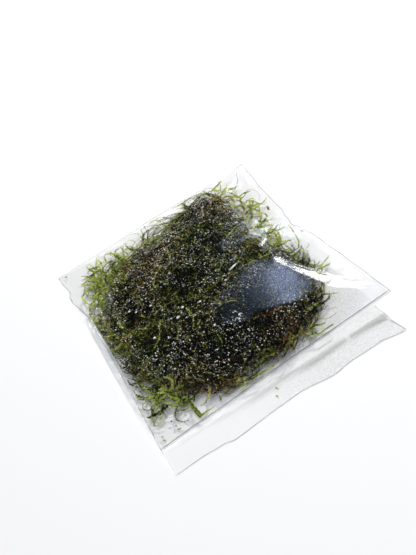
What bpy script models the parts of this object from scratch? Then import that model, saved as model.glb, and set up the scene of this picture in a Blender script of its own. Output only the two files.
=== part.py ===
"""A portion of java moss, packed in a clear polyethylene press-seal bag that lies flat.

X runs along the press seal, Y from the open lips to the folded bottom, and Z up.
The origin is on the table, under the middle of the bag. Sizes here are millimetres.
"""
import math

import bmesh
import bpy
import numpy as np
from mathutils import Vector, noise

MM = 0.001

# The bag: a folded sheet of film, welded along both sides, with a press seal near its mouth
BAG_LENGTH = 132.0
LIP_LENGTH = 12.0
FILM = 0.12
SEAL_HALF = 0.55
SEAL_THICKNESS = 1.4
SEAL_WIDTH = 1.2
SEAL_SHOULDER = 0.4
LIP_THICKNESS = 1.0
WELD_THICKNESS = 0.7

MOUTH = -BAG_LENGTH / 2
FOLD = BAG_LENGTH / 2
SEAL = MOUTH + LIP_LENGTH

# The moss: a tangled mat that fills most of the bag
MAT_HEIGHT = 11.2
MAT_RIM = 3.2
MAT_CENTRE = (-6.0, 6.0)
LUMP_HEIGHT = 0.9
LUMP_SPACING = 17.0
CLEARANCE = 0.45
SHOULDER_ROOM = 1.6
SHOOT_ROOM = 2.6

# How finely the solids are cut into facets
COLUMNS = 24
LIP_ROWS = 3
LIP_SHARE = 0.9
BODY_ROWS = 21
SETTLE_COLUMNS = 61
SETTLE_ROWS = 61
SETTLE_STEPS = 900
MAT_SPOKES = 44
MAT_RINGS = 15
SHOOT_POINTS = 6
ROUTE_STEPS = 60

# Lines of the bag as (place, value) stations. Side welds: place along Y, then X, then height.
LEFT_X = [(-66, -60), (-54, -59.8), (-37, -59), (-22, -58.2), (-7, -57.7), (10, -57.1),
          (28, -57.2), (35, -58.6), (43, -60), (47, -60), (51, -58.6), (62, -59.9), (66, -60)]
LEFT_Z = [(-66, 0.5), (-54, 0.8), (-40, 2.2), (-20, 3.3), (30, 3.3), (50, 1.8), (66, 0.5)]
RIGHT_X = [(-66, 60), (-54, 60), (-37, 59.8), (-26, 59.2), (-10, 57.8), (-4, 57.3), (4, 55.4),
           (10, 53.6), (15, 54.8), (24, 56.5), (43, 57.8), (56, 59.6), (66, 60)]
RIGHT_Z = [(-66, 3.5), (-54, 4.6), (-40, 3.6), (-20, 3.0), (10, 3.3), (40, 3.0), (56, 3.4), (66, 5.2)]
# Folded bottom, press seal and lip edge: place along X, then height
FOLD_Z = [(-60, 0.5), (-42, 1.3), (-29, 1.9), (-13, 3.3), (0, 4.3), (20, 4.5), (35, 4.1),
          (50, 2.6), (60, 5.2)]
SEAL_Z = [(-60, 0.8), (-45, 2.0), (-28, 2.6), (-8, 4.2), (10, 4.7), (34, 4.4), (60, 4.6)]
LIP_Z = [(-60, 0.5), (-49, 1.3), (-35, 0.7), (-18, 0.9), (-5, 2.0), (5, 2.4), (19, 3.3),
         (32, 3.8), (39, 3.4), (60, 3.5)]
# Each cross line bows along Y in its middle: place along Y, then how far
BOW = [(-66, 0), (-54, 1.2), (-30, 0), (40, 0), (66, -1.0)]

# Outline of the dense mat, seen from above
MAT_OUTLINE = [
    (42, 40), (41, 50), (37, 58), (30, 62.5), (20, 62), (10, 60.3), (0, 58.6), (-9, 56.2),
    (-19, 53), (-28, 51), (-37, 48), (-44, 43), (-49.5, 35), (-53.5, 23), (-55, 10), (-55, -8),
    (-54, -20), (-50.5, -29), (-43, -36), (-36, -42), (-29, -47.5), (-20, -49), (-10, -49),
    (2, -49), (13, -48), (24, -44), (33, -39), (39, -32), (43, -24), (44, -14), (44, -6), (40, 1),
    (35, 9), (35, 20), (39, 30),
]

# Shoots that stand clear of the mat: radius, level between the two films, and a route
# from the mat to the tip
SHOOTS = [
    (0.55, 0.5, [(-41, 45), (-45.3, 51.4), (-49, 56)]),
    (0.5, 0.5, [(-37, 47), (-40.4, 53.5), (-41.8, 59.5)]),
    (0.5, 0.1, [(-31, 50), (-34.5, 55.5), (-38.6, 57.6)]),
    (0.35, 0.9, [(-33, 48.5), (-35.4, 54.6), (-34, 58.8), (-30.2, 61.6)]),
    (0.5, 0.5, [(-28, 49), (-27.6, 54), (-29.4, 57.6)]),
    (0.4, 0.5, [(-15.8, 53), (-16.2, 58.4), (-18.6, 60.8)]),
    (0.5, 0.4, [(-10.4, 54), (-9.6, 59.5), (-8.8, 62.6)]),
    (0.5, 0.5, [(-49, 30), (-52, 42), (-50, 49)]),
    (0.55, 0.5, [(-46, 36), (-47.8, 45), (-46.6, 48.6)]),
    (0.4, 0.5, [(-51, -14), (-54.6, -22), (-54.4, -30), (-56, -35.6)]),
    (0.55, 0.5, [(-44, -32), (-50.2, -36), (-53.8, -39.4)]),
    (0.5, 0.5, [(-42, -35), (-50, -40.4), (-54, -43)]),
    (0.55, 0.5, [(-34, -40), (-40, -45.6), (-47.2, -43.6)]),
    (0.45, 0.5, [(22, -42), (19.6, -46), (17.4, -48.6)]),
    (0.55, 0.5, [(32, -33), (38.4, -37.4), (42.6, -39.8)]),
    (0.6, 0.5, [(41, -24.5), (48, -22), (54.2, -19.4)]),
    (0.55, 0.95, [(42, -10), (48.2, -3.4), (50.6, 4), (51.6, 9.8)]),
    (0.55, 0.05, [(38, 6), (44.6, 2.6), (50.8, -2)]),
    (0.5, 0.3, [(34, 13), (41, 13.8), (46.2, 15)]),
    (0.45, 0.7, [(34, 17), (41.4, 19.8), (49.4, 17.4)]),
    (0.5, 0.6, [(38, 28), (44.6, 31), (52, 32.4), (55.4, 34.4)]),
    (0.55, 0.35, [(39, 32), (46, 34.6), (50, 40)]),
    (0.5, 0.5, [(40, 42), (46.6, 43.6), (51, 46.6)]),
    (0.3, 0.5, [(39, 49), (46, 52), (50.6, 56), (52.6, 60)]),
    (0.5, 0.5, [(37, 54), (40.6, 58.2), (42.6, 61.6)]),
]

FILM_COLOUR = (0.86, 0.88, 0.87, 1.0)
MOSS_COLOUR = (0.045, 0.062, 0.016, 1.0)
SHOOT_COLOUR = (0.24, 0.34, 0.05, 1.0)


def clear_scene():
    for item in list(bpy.data.objects):
        bpy.data.objects.remove(item, do_unlink=True)


def finish(name, colour, roughness):
    """Makes one sub-part's own material."""
    material = bpy.data.materials.new(name)
    material.use_nodes = True
    shader = material.node_tree.nodes["Principled BSDF"]
    shader.inputs["Base Color"].default_value = colour
    shader.inputs["Roughness"].default_value = roughness
    shader.inputs["Metallic"].default_value = 0.0
    return material


def along(stations, where):
    """Reads a line that eases from each (place, value) station to the next."""
    places = np.array([place for place, _ in stations], float)
    values = np.array([value for _, value in stations], float)
    where = np.clip(where, places[0], places[-1])
    last = np.clip(np.searchsorted(places, where, side="right") - 1, 0, len(places) - 2)
    part = (where - places[last]) / (places[last + 1] - places[last])
    eased = part * part * (3 - 2 * part)
    return values[last] + (values[last + 1] - values[last]) * eased


def across(u, y):
    """X of the place that lies u of the way out from the bag's middle to a side weld."""
    left = along(LEFT_X, y)
    right = along(RIGHT_X, y)
    return (left + right) / 2 + u * (right - left) / 2


def outline_radius(angle):
    """Distance from the mat's centre to its outline, smooth between the outline's points."""
    points = np.array(MAT_OUTLINE, float) - np.array(MAT_CENTRE)
    angles = np.arctan2(points[:, 1], points[:, 0]) % (2 * math.pi)
    order = np.argsort(angles)
    angles = angles[order]
    radii = np.hypot(points[:, 0], points[:, 1])[order]
    angles = np.concatenate([angles[-1:] - 2 * math.pi, angles, angles[:1] + 2 * math.pi])
    radii = np.concatenate([radii[-1:], radii, radii[:1]])
    return np.interp(np.asarray(angle) % (2 * math.pi), angles, radii)


def mat_reach(x, y):
    """A point's distance from the mat's centre, and the outline's distance that way."""
    dx = np.asarray(x, float) - MAT_CENTRE[0]
    dy = np.asarray(y, float) - MAT_CENTRE[1]
    return np.hypot(dx, dy), outline_radius(np.arctan2(dy, dx))


def lump(x, y):
    """Uneven packing of the moss, as a height over the plain dome."""
    place = Vector((x / LUMP_SPACING, y / LUMP_SPACING, 0.37))
    return LUMP_HEIGHT * noise.noise(place)


def mat_top(x, y, out):
    """Upper face of the mat at a place that lies out, from 0 to 1, towards its outline."""
    dome = math.sqrt(max(0.0, 1 - out ** 4))
    return MAT_RIM + (MAT_HEIGHT - MAT_RIM + lump(x, y)) * dome


def mat_bottom(out):
    """Lower face of the mat, flat where it rests on the film."""
    dish = math.sqrt(max(0.0, 1 - out ** 8))
    return MAT_RIM - (MAT_RIM - FILM - CLEARANCE) * dish


def route_point(points, part):
    """A point on the smooth line through a shoot's few points, part of the way along."""
    knots = [2 * points[0] - points[1]] + points + [2 * points[-1] - points[-2]]
    place = min(part * (len(points) - 1), len(points) - 1.000001)
    k = int(place)
    t = place - k
    a, b, c, d = knots[k:k + 4]
    return 0.5 * (2 * b + (c - a) * t + (2 * a - 5 * b + 4 * c - d) * t ** 2
                  + (3 * b - a - 3 * c + d) * t ** 3)


def room_for_shoots(us, ys):
    """Least distance between the films at each point of their grid, for the shoots in it."""
    room = np.full((len(ys), len(us)), 2 * (FILM + CLEARANCE))
    places = np.array([[float(across(u, y)) for u in us] for y in ys])
    for radius, _, route in SHOOTS:
        points = [Vector((x, y, 0)) for x, y in route]
        near = np.zeros(room.shape, bool)
        for part in np.linspace(0, 1, ROUTE_STEPS + 1):
            point = route_point(points, part)
            near |= np.hypot(places - point.x, ys[:, None] - point.y) < SHOOT_ROOM
        room = room + near * (2 * radius + CLEARANCE)
    return room


def settle_films():
    """Lets both films pull taut between the welds and over the moss, like a tent.

    Each free point takes the mean height of its neighbours, but stays clear of the mat
    and of the table. Returns the places across and along the bag, and both heights.
    """
    us = np.linspace(-1, 1, SETTLE_COLUMNS)
    ys = np.linspace(SEAL, FOLD, SETTLE_ROWS)
    top = np.zeros((SETTLE_ROWS, SETTLE_COLUMNS))
    bottom = np.zeros_like(top)
    over = np.full_like(top, -1.0)
    under = np.full_like(top, 1000.0)
    for row, y in enumerate(ys):
        for column, u in enumerate(us):
            x = float(across(u, y))
            distance, reach = mat_reach(x, y)
            out = max(0.0, float(distance) - SHOULDER_ROOM) / float(reach)
            if out < 1:
                over[row, column] = mat_top(x, y, out) + CLEARANCE + FILM
                under[row, column] = max(0.0, mat_bottom(out) - CLEARANCE - FILM)
    room = room_for_shoots(us, ys)
    for height in (top, bottom):
        height[:, 0] = along(LEFT_Z, ys)
        height[:, -1] = along(RIGHT_Z, ys)
        height[-1, :] = along(FOLD_Z, across(us, FOLD))
    seal_middle = along(SEAL_Z, across(us, SEAL))
    top[0, 1:-1] = seal_middle[1:-1] + SEAL_THICKNESS / 2
    bottom[0, 1:-1] = np.maximum(0, seal_middle[1:-1] - SEAL_THICKNESS / 2)
    top[1:-1, 1:-1] = MAT_RIM
    bottom[1:-1, 1:-1] = np.minimum(MAT_RIM, under[1:-1, 1:-1])
    for _ in range(SETTLE_STEPS):
        for height in (top, bottom):
            mean = (height[:-2, 1:-1] + height[2:, 1:-1] + height[1:-1, :-2] + height[1:-1, 2:]) / 4
            height[1:-1, 1:-1] = mean
        bottom[1:-1, 1:-1] = np.clip(bottom[1:-1, 1:-1], 0, under[1:-1, 1:-1])
        least = np.maximum(over[1:-1, 1:-1], bottom[1:-1, 1:-1] + room[1:-1, 1:-1])
        top[1:-1, 1:-1] = np.maximum(top[1:-1, 1:-1], least)
    return us, ys, top, bottom


def read_grid(us, ys, heights, u, y):
    """Height between the points of a settled film."""
    column = np.clip((u - us[0]) / (us[1] - us[0]), 0, len(us) - 1.000001)
    row = np.clip((y - ys[0]) / (ys[1] - ys[0]), 0, len(ys) - 1.000001)
    c, r = int(column), int(row)
    s, t = column - c, row - r
    near = heights[r, c] * (1 - s) + heights[r, c + 1] * s
    far = heights[r + 1, c] * (1 - s) + heights[r + 1, c + 1] * s
    return near * (1 - t) + far * t


class Films:
    """Both settled films, with their heights at any place in the bag."""

    def __init__(self):
        self.us, self.ys, self.top, self.bottom = settle_films()

    def heights(self, u, y):
        """Lower and upper height at u across and y along the bag."""
        if abs(u) == 1:
            side = float(along(LEFT_Z if u < 0 else RIGHT_Z, y))
            return side, side
        if y >= SEAL:
            low = read_grid(self.us, self.ys, self.bottom, u, y)
            high = read_grid(self.us, self.ys, self.top, u, y)
        else:
            x = float(across(u, y))
            part = (y - SEAL) / (MOUTH - SEAL)
            middle = (1 - part) * float(along(SEAL_Z, x)) + part * float(along(LIP_Z, x))
            space = SEAL_THICKNESS + part * (LIP_THICKNESS - SEAL_THICKNESS)
            low = max(0.0, middle - space / 2)
            high = low + space
        if y >= FOLD:
            return low, low
        return low, max(high, low + WELD_THICKNESS)

    def between(self, x, y, level, radius):
        """A shoot's place between the films, at a level from 0, lowest, to 1, highest."""
        left, right = float(along(LEFT_X, y)), float(along(RIGHT_X, y))
        u = (2 * x - left - right) / (right - left)
        low, high = self.heights(u, y)
        margin = min(radius + FILM + CLEARANCE, (high - low) / 2)
        return Vector((x, y, low + margin + (high - low - 2 * margin) * level))


def bag_rows():
    """Places along the bag of the sheet's rows, closer together at the seal and the fold."""
    half = SEAL_WIDTH / 2
    lip = [MOUTH + LIP_LENGTH * LIP_SHARE * k / LIP_ROWS for k in range(LIP_ROWS)]
    seal = [SEAL - half - SEAL_SHOULDER, SEAL - half, SEAL + half, SEAL + half + SEAL_SHOULDER]
    start = seal[-1]
    body = [start + (FOLD - start) * (1 - math.cos(math.pi * k / BODY_ROWS)) / 2
            for k in range(1, BODY_ROWS + 1)]
    return lip + seal + body


def make_bag(films, collection):
    """Folds one sheet of film at the bottom of the bag and welds its sides together."""
    rows = bag_rows()
    last = len(rows) - 1
    seal_rows = (LIP_ROWS + 1, LIP_ROWS + 2)
    bm = bmesh.new()
    bmesh.ops.create_grid(bm, x_segments=COLUMNS, y_segments=2 * last, size=0.5)
    weight = bm.verts.layers.deform.verify()
    for vert in bm.verts:
        column = round((vert.co.x + 0.5) * COLUMNS)
        step = round((vert.co.y + 0.5) * 2 * last)
        upper = step > last
        row = 2 * last - step if upper else step
        out = 2 * column / COLUMNS - 1
        u = out if abs(out) == 1 else math.sin(math.pi / 2 * out)
        y = rows[row]
        low, high = films.heights(u, y)
        bow = float(along(BOW, y)) * (1 - u * u)
        z = high if upper else low
        vert.co = Vector((float(across(u, y)), y + bow, z)) * MM
        if row in seal_rows:
            vert[weight][0] = 1.0
    bmesh.ops.reverse_faces(bm, faces=bm.faces)
    bmesh.ops.remove_doubles(bm, verts=bm.verts, dist=0.00001)
    mesh = bpy.data.meshes.new("bag_pouch")
    bm.to_mesh(mesh)
    bm.free()
    bag = bpy.data.objects.new("bag_pouch", mesh)
    bag.vertex_groups.new(name="seal")
    wall = bag.modifiers.new("film", "SOLIDIFY")
    wall.thickness = SEAL_HALF * MM
    wall.offset = -1
    wall.vertex_group = "seal"
    wall.thickness_vertex_group = FILM / SEAL_HALF
    mesh.materials.append(finish("clear polyethylene film", FILM_COLOUR, 0.15))
    collection.objects.link(bag)
    return bag


def make_mat(collection):
    """Shapes a sphere to the mat's outline, with a lumpy top and a flat underside."""
    bm = bmesh.new()
    bmesh.ops.create_uvsphere(bm, u_segments=MAT_SPOKES, v_segments=MAT_RINGS, radius=1.0)
    for vert in bm.verts:
        out = min(1.0, math.hypot(vert.co.x, vert.co.y))
        angle = math.atan2(vert.co.y, vert.co.x)
        reach = float(outline_radius(angle)) * out
        x = MAT_CENTRE[0] + reach * math.cos(angle)
        y = MAT_CENTRE[1] + reach * math.sin(angle)
        z = mat_top(x, y, out) if vert.co.z > 0 else mat_bottom(out)
        vert.co = Vector((x, y, z)) * MM
    mesh = bpy.data.meshes.new("moss_mat")
    bm.to_mesh(mesh)
    bm.free()
    mesh.shade_smooth()
    mesh.materials.append(finish("wet moss mat", MOSS_COLOUR, 0.6))
    mat = bpy.data.objects.new("moss_mat", mesh)
    collection.objects.link(mat)
    return mat


def clear_of_mat(point, radius):
    """Says whether a shoot's point lies outside the mat, with room for its thickness."""
    distance, reach = mat_reach(point.x, point.y)
    return float(distance) > float(reach) + radius + CLEARANCE


def make_shoot(number, shoot, films, collection, material):
    """Draws one shoot as a slim tapered stem that lies between the films."""
    radius, level, places = shoot
    points = [Vector((x, y, 0)) for x, y in places]
    parts = np.linspace(0, 1, ROUTE_STEPS + 1)
    start = next(part for part in parts if clear_of_mat(route_point(points, part), radius))
    curve = bpy.data.curves.new(f"moss_shoot_{number:02d}", "CURVE")
    curve.dimensions = "3D"
    curve.bevel_depth = radius * MM
    curve.bevel_resolution = 2
    curve.use_fill_caps = True
    spline = curve.splines.new("POLY")
    spline.points.add(SHOOT_POINTS - 1)
    for k, part in enumerate(np.linspace(start, 1, SHOOT_POINTS)):
        flat = route_point(points, part)
        place = films.between(flat.x, flat.y, level, radius) * MM
        spline.points[k].co = (*place, 1)
        spline.points[k].radius = 1 - 0.35 * (part - start) / (1 - start)
    curve.materials.append(material)
    stem = bpy.data.objects.new(curve.name, curve)
    collection.objects.link(stem)
    return stem


def build():
    clear_scene()
    collection = bpy.data.collections.new("java_moss_in_bag")
    bpy.context.scene.collection.children.link(collection)
    films = Films()
    make_bag(films, collection)
    make_mat(collection)
    material = finish("moss shoot", SHOOT_COLOUR, 0.5)
    for number, shoot in enumerate(SHOOTS, 1):
        make_shoot(number, shoot, films, collection, material)


build()
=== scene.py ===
"""Java moss, packed wet in a clear polyethylene press-seal bag that lies flat.

X runs along the press seal, Y from the open lips to the folded bottom, and Z up from the floor.
Sizes here are millimetres, and they become metres where a mesh is made.
"""
import math

import bmesh
import bpy
import numpy as np
from mathutils import Matrix, Vector, noise
from mathutils.bvhtree import BVHTree


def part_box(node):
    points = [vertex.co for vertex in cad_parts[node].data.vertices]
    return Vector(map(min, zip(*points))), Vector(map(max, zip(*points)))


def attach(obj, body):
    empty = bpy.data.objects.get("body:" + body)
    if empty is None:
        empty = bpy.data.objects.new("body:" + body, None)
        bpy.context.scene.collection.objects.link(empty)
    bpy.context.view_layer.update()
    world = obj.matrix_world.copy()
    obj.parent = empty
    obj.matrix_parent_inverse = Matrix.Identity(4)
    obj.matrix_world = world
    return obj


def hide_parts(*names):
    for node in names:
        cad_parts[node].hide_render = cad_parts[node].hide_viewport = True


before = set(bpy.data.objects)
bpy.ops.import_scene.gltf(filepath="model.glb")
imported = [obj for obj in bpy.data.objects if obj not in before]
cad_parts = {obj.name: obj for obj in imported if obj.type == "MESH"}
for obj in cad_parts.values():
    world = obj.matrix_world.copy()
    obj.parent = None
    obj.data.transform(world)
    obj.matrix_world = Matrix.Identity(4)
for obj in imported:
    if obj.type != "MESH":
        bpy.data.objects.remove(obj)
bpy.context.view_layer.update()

MM = 0.001

# The pouch. The bag maker folds one long sheet of clear polyethylene, about a tenth of a millimetre
# thick, and heat-welds both sides. The film is limp: it hangs like a tent over the moss, with
# taut panels and creases where the press seal and the moss pull it.
FILM = 0.12
HALF_WIDTH = 60
LENGTH = 132
LIP_LENGTH = 12.0
# The grid that the sheet is laid on, and how its heights are read off the solid: from how far away,
# how far inside the edge, where to look when that misses, and how many rounds smooth its facets
FILM_COLUMNS = 140
FILM_ROWS = 158
RAY_START = 100.0
EDGE_INSET = 0.06
MIDDLE_HEIGHT = 3.0
SMOOTHING = 30
# How far apart the films stay over the moss, and how many millimetres it takes them to part
MIDDLE_GAP = 1.2
GAP_EDGE = 3

# Lines of the pouch as (place, value) stations. Side welds: place along Y, then X, then height. The
# right one steps in at the seal, where the flap is narrower than the bag.
LEFT_X = [(-66, -60), (-54, -59.8), (-37, -59), (-22, -58.2), (-7, -57.7), (10, -57.1),
          (28, -57.2), (35, -58.6), (43, -60), (47, -60), (51, -58.6), (62, -59.9), (66, -60)]
LEFT_Z = [(-66, 0.5), (-54, 0.8), (-40, 2.2), (-20, 3.3), (30, 3.3), (50, 1.8), (66, 0.5)]
RIGHT_X = [(-66, 53.2), (-60, 52), (-55.1, 49.8), (-54.35, 60), (-37, 59.8), (-26, 59.2), (-10, 57.8),
           (-4, 57.3), (4, 55.4), (10, 53.6), (15, 54.8), (24, 56.5), (43, 57.8), (56, 59.6), (66, 60)]
RIGHT_Z = [(-66, 3.5), (-54, 4.6), (-40, 3.6), (-20, 3.0), (10, 3.3), (40, 3.0), (56, 3.4), (66, 5.2)]
# Folded bottom: place along X, then height. How far the middle of a cross line bows along Y.
FOLD_Z = [(-60, 0.5), (-42, 1.3), (-29, 1.9), (-13, 3.3), (0, 4.3), (20, 4.5), (35, 4.1),
          (50, 2.6), (60, 5.2)]
BOW = [(-66, 0), (-54, -0.4), (-30, 0), (40, 0), (66, -1.0)]
# The flap. The upper film ends at the seal, and beyond it the lower film runs on alone and sinks to
# the floor: place along X, then Y of its outer edge. Then how high it rests and the share of its
# length over which it falls.
FLAP_Y = [(-60, -65.9), (-48, -65.8), (-37, -66.5), (-33, -67.7), (-12, -67.0), (0, -66.8),
          (17, -69.1), (25, -68.4), (40, -68.8), (53, -70.9)]
FLAP_REST = 0.2
FLAP_FALL = 0.6

# Taut panels of the upper film: the outline of each, how it slopes along X and along Y (None where
# it is free), how strongly it holds that slope, and over how many millimetres its edge softens.
# The wide one lies over the moss and mirrors the sky. The narrow ones make one steep fall over the
# mat's edge, which mirrors the window, and the film beside them runs straight out to the weld.
PANELS = [
    ([(31.0, -8.0), (35.0, -17.0), (36.8, -24.0), (38.0, -30.0), (37.4, -39.0), (26.0, -37.5),
      (15.0, -35.5), (5.0, -32.0), (-8.0, -27.5), (-17.0, -19.5), (-10.0, -13.5), (2.0, -9.0),
      (14.0, -4.0), (24.0, -4.0)], (-0.078, 0.050), 20, 4.5),
    ([(46.5, -4.0), (56.5, -4.0), (54.0, 10.0), (56.0, 40.0), (47.0, 40.0), (44.5, 10.0)],
     (-0.06, 0.0), 14, 2.5),
    ([(33.0, 50.0), (52.0, 50.0), (51.0, 10.0), (38.0, 8.0)], (None, -0.12), 16, 5.0),
    ([(46.0, -5.0), (57.4, -5.0), (58.8, -31.0), (52.5, -33.0), (47.0, -26.0)], (-0.07, 0.0), 30, 2.0),
    ([(31.8, -5.5), (35.2, -15.0), (39.6, -22.9), (42.2, -26.5), (46.6, -34.0), (51.0, -38.8),
      (55.0, -42.4), (58.0, -38.0), (58.0, -22.0), (56.0, -7.0), (50.0, -1.0), (37.0, 0.0)],
     (None, -0.12), 40, 1.2),
    ([(29.4, -6.5), (31.6, -6.0), (35.0, -15.0), (31.6, -17.2), (29.0, -11.0)],
     (-0.298, 0.036), 90, 0.6),
    ([(35.0, -15.0), (39.4, -22.9), (34.8, -25.2), (31.6, -17.2)], (-0.283, 0.015), 90, 0.6),
    ([(39.4, -22.9), (42.0, -26.5), (46.4, -34.0), (38.6, -35.6), (36.4, -30.0), (34.8, -25.2)],
     (-0.262, -0.008), 90, 0.6),
    ([(46.4, -34.0), (50.8, -39.0), (46.5, -43.4), (41.5, -40.4), (38.6, -35.6)],
     (-0.240, -0.028), 90, 0.6),
    ([(50.8, -39.0), (55.0, -42.6), (54.5, -46.5), (50.5, -46.4), (46.5, -43.4)],
     (-0.225, -0.045), 90, 0.6),
    ([(7.6, 45.6), (16.0, 45.4), (17.6, 52.4), (9.0, 52.6)], (-0.15, 0.16), 30, 3.5),
]
# Rounds that find the sheet, how strongly it keeps its height, and where it starts to be free, in
# millimetres past the seal
PANEL_ROUNDS = 700
HOLD = 0.008
SEAL_HOLD = 1

# Creases that stand up from the film: both ends, height and width. Then how quickly each fades out
# towards its ends, and how round its top is.
CREASES = [
    ((60.0, 66.0), (40.0, 52.0), 0.50, 1.8),
    ((60.0, 66.0), (52.0, 44.0), 0.40, 1.5),
    ((60.0, 66.0), (26.0, 63.0), 0.30, 1.5),
    ((-60.0, 45.0), (-50.0, 38.0), 0.35, 1.4),
    ((-60.0, 66.0), (-44.0, 52.0), 0.30, 1.5),
    ((-60.0, -54.0), (-50.0, -38.0), 0.30, 1.6),
    ((54.0, 12.0), (58.0, -24.0), 0.35, 1.6),
    ((60.0, -54.0), (50.0, -44.0), 0.40, 1.6),
    ((-44.0, -54.0), (-38.0, -45.0), 0.25, 1.5),
    ((4.0, -54.0), (8.0, -46.0), 0.25, 1.5),
]
CREASE_FADE = 4
CREASE_ROUND = 1.5
# Ripples that run in from the welds, longer across the bag than along it and weaker in the lower
# film, and the slack waves of the whole upper film. Both die out within a few millimetres of an edge.
RIPPLE_HEIGHT = 0.12
RIPPLE_LENGTH = 7.0
RIPPLE_STRETCH = 3
RIPPLE_REACH = 9.0
RIPPLE_BELOW = 0.4
SLACK_HEIGHT = 0.16
SLACK_LENGTH = 15.0
LOOSE_EDGE = 4.0

# The film's shine: how much light it mirrors head on, and how steeply that grows at a slant
FILM_TINT = "#FFFFFF"
FILM_GLOSS = "#FFFFFF"
FILM_ROUGHNESS = 0.11
FILM_HEAD_ON = 0.06
FILM_SLANT = 6.5
# Fine crinkles in the film, drawn as coarse as they need to show
CRINKLE = 1.4
CRINKLE_HEIGHT = 0.002
# Painted shadow on the lower film beside the moss, where the film shades the floor, mottled by fine
# drops of water, and a mottled grey on the flap that grows towards the right: outline of the shaded
# part, how softly it starts, how strong both are, the size of the drops, how thick they stand and their
# tint
DAMP_SHADOW = [(47.6, 16.0), (49.2, -2.3), (51.3, -33.8), (51.8, -53.0), (-20.0, -53.0), (0.0, -35.0),
        (20.0, -20.0), (34.0, 6.0), (40.0, 16.0)]
DAMP_SHADOW_EDGE = 1.0
DAMP_SHADOW_SHARE = 0.6
FLAP_MOTTLE = 0.45
DROP_SIZE = 0.6
DROP_RANGE = (0.35, 0.70)
DAMP_SHADOW_TINT = "#E9EAE9"
# The painted shadow of the press seal on the flap, a grey band: its distance from the seal, its half
# width, and how strong it is at places across the bag
SEAL_SHADOW_OFFSET = [(-1, 1.2), (0, 3.4), (0.4, 4.2), (1, 4.8)]
SEAL_SHADOW_HALF_WIDTH = 0.65
SEAL_SHADOW_STRENGTH = [(-1, 0.15), (-0.4, 0.3), (-0.05, 0.7), (0.1, 0.9), (0.60, 0.9), (0.64, 0.1),
                 (0.68, 1.0), (0.97, 1.0), (1, 0.5)]


def colour(text):
    """Turns a colour's sRGB hex name into linear red, green, blue and alpha."""
    parts = [int(text[k:k + 2], 16) / 255 for k in (1, 3, 5)]
    linear = [p / 12.92 if p <= 0.04045 else ((p + 0.055) / 1.055) ** 2.4 for p in parts]
    return (*linear, 1.0)


def corners(node):
    """All corner points of one of the frame's solids."""
    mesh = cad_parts[node].data
    points = np.empty(len(mesh.vertices) * 3)
    mesh.vertices.foreach_get("co", points)
    return points.reshape(-1, 3) / MM


def ease(part):
    """Goes smoothly from 0 to 1."""
    part = np.clip(part, 0, 1)
    return part * part * (3 - 2 * part)


def along(stations, where):
    """Reads a line that eases from each (place, value) station to the next."""
    places = np.array([place for place, _ in stations], float)
    values = np.array([value for _, value in stations], float)
    where = np.clip(where, places[0], places[-1])
    last = np.clip(np.searchsorted(places, where, side="right") - 1, 0, len(places) - 2)
    part = ease((where - places[last]) / (places[last + 1] - places[last]))
    return values[last] + (values[last + 1] - values[last]) * part


def place_in_bag(u, v):
    """X and Y of a place u across the bag, from -1 to 1, and v along it, from lips to fold."""
    row = MOUTH + v * (FOLD - MOUTH)
    left, right = along(LEFT_X, row), along(RIGHT_X, row)
    x = (left + right) / 2 + u * (right - left) / 2
    return x, row + along(BOW, row) * (1 - u * u) + flap_reach(x, row)


def flap_reach(x, row):
    """How far the flap's rows lie out beyond their evenly spaced places."""
    return (along(FLAP_Y, x) - MOUTH) * np.clip((SEAL - row) / LIP_LENGTH, 0, 1)


def share_of_bag(x, y):
    """The u and v of a place in the bag."""
    row = y
    for _ in range(5):
        left, right = along(LEFT_X, row), along(RIGHT_X, row)
        u = (2 * x - left - right) / (right - left)
        row = y - along(BOW, row) * (1 - np.clip(u, -1, 1) ** 2) - flap_reach(x, row)
    return u, (row - MOUTH) / (FOLD - MOUTH)


def depth_inside(outline, x, y):
    """How deep places lie inside an outline, and 0 for those outside it."""
    found = np.zeros(x.shape, bool)
    nearest = np.full(x.shape, np.inf)
    for (ax, ay), (bx, by) in zip(outline, outline[1:] + outline[:1]):
        if ay != by:
            level = (ay > y) != (by > y)
            found ^= level & (x < ax + (bx - ax) * (y - ay) / (by - ay))
        run = (bx - ax) ** 2 + (by - ay) ** 2
        share = np.clip(((x - ax) * (bx - ax) + (y - ay) * (by - ay)) / run, 0, 1)
        nearest = np.minimum(nearest, np.hypot(x - ax - share * (bx - ax), y - ay - share * (by - ay)))
    return nearest * found


def ripple(x, y, length, seed):
    """Smooth uneven waves of about one length, between -1 and 1."""
    flat = [noise.noise(Vector((a / length, b / length, seed))) for a, b in zip(x.flat, y.flat)]
    return 2 * np.array(flat).reshape(x.shape)


bag_low, bag_high = (Vector(corner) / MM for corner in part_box("bag_pouch"))
MOUTH, FOLD = bag_low.y, bag_high.y
SEAL = MOUTH + LIP_LENGTH
SEAL_ROW = round(LIP_LENGTH / (FOLD - MOUTH) * FILM_ROWS)


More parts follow.
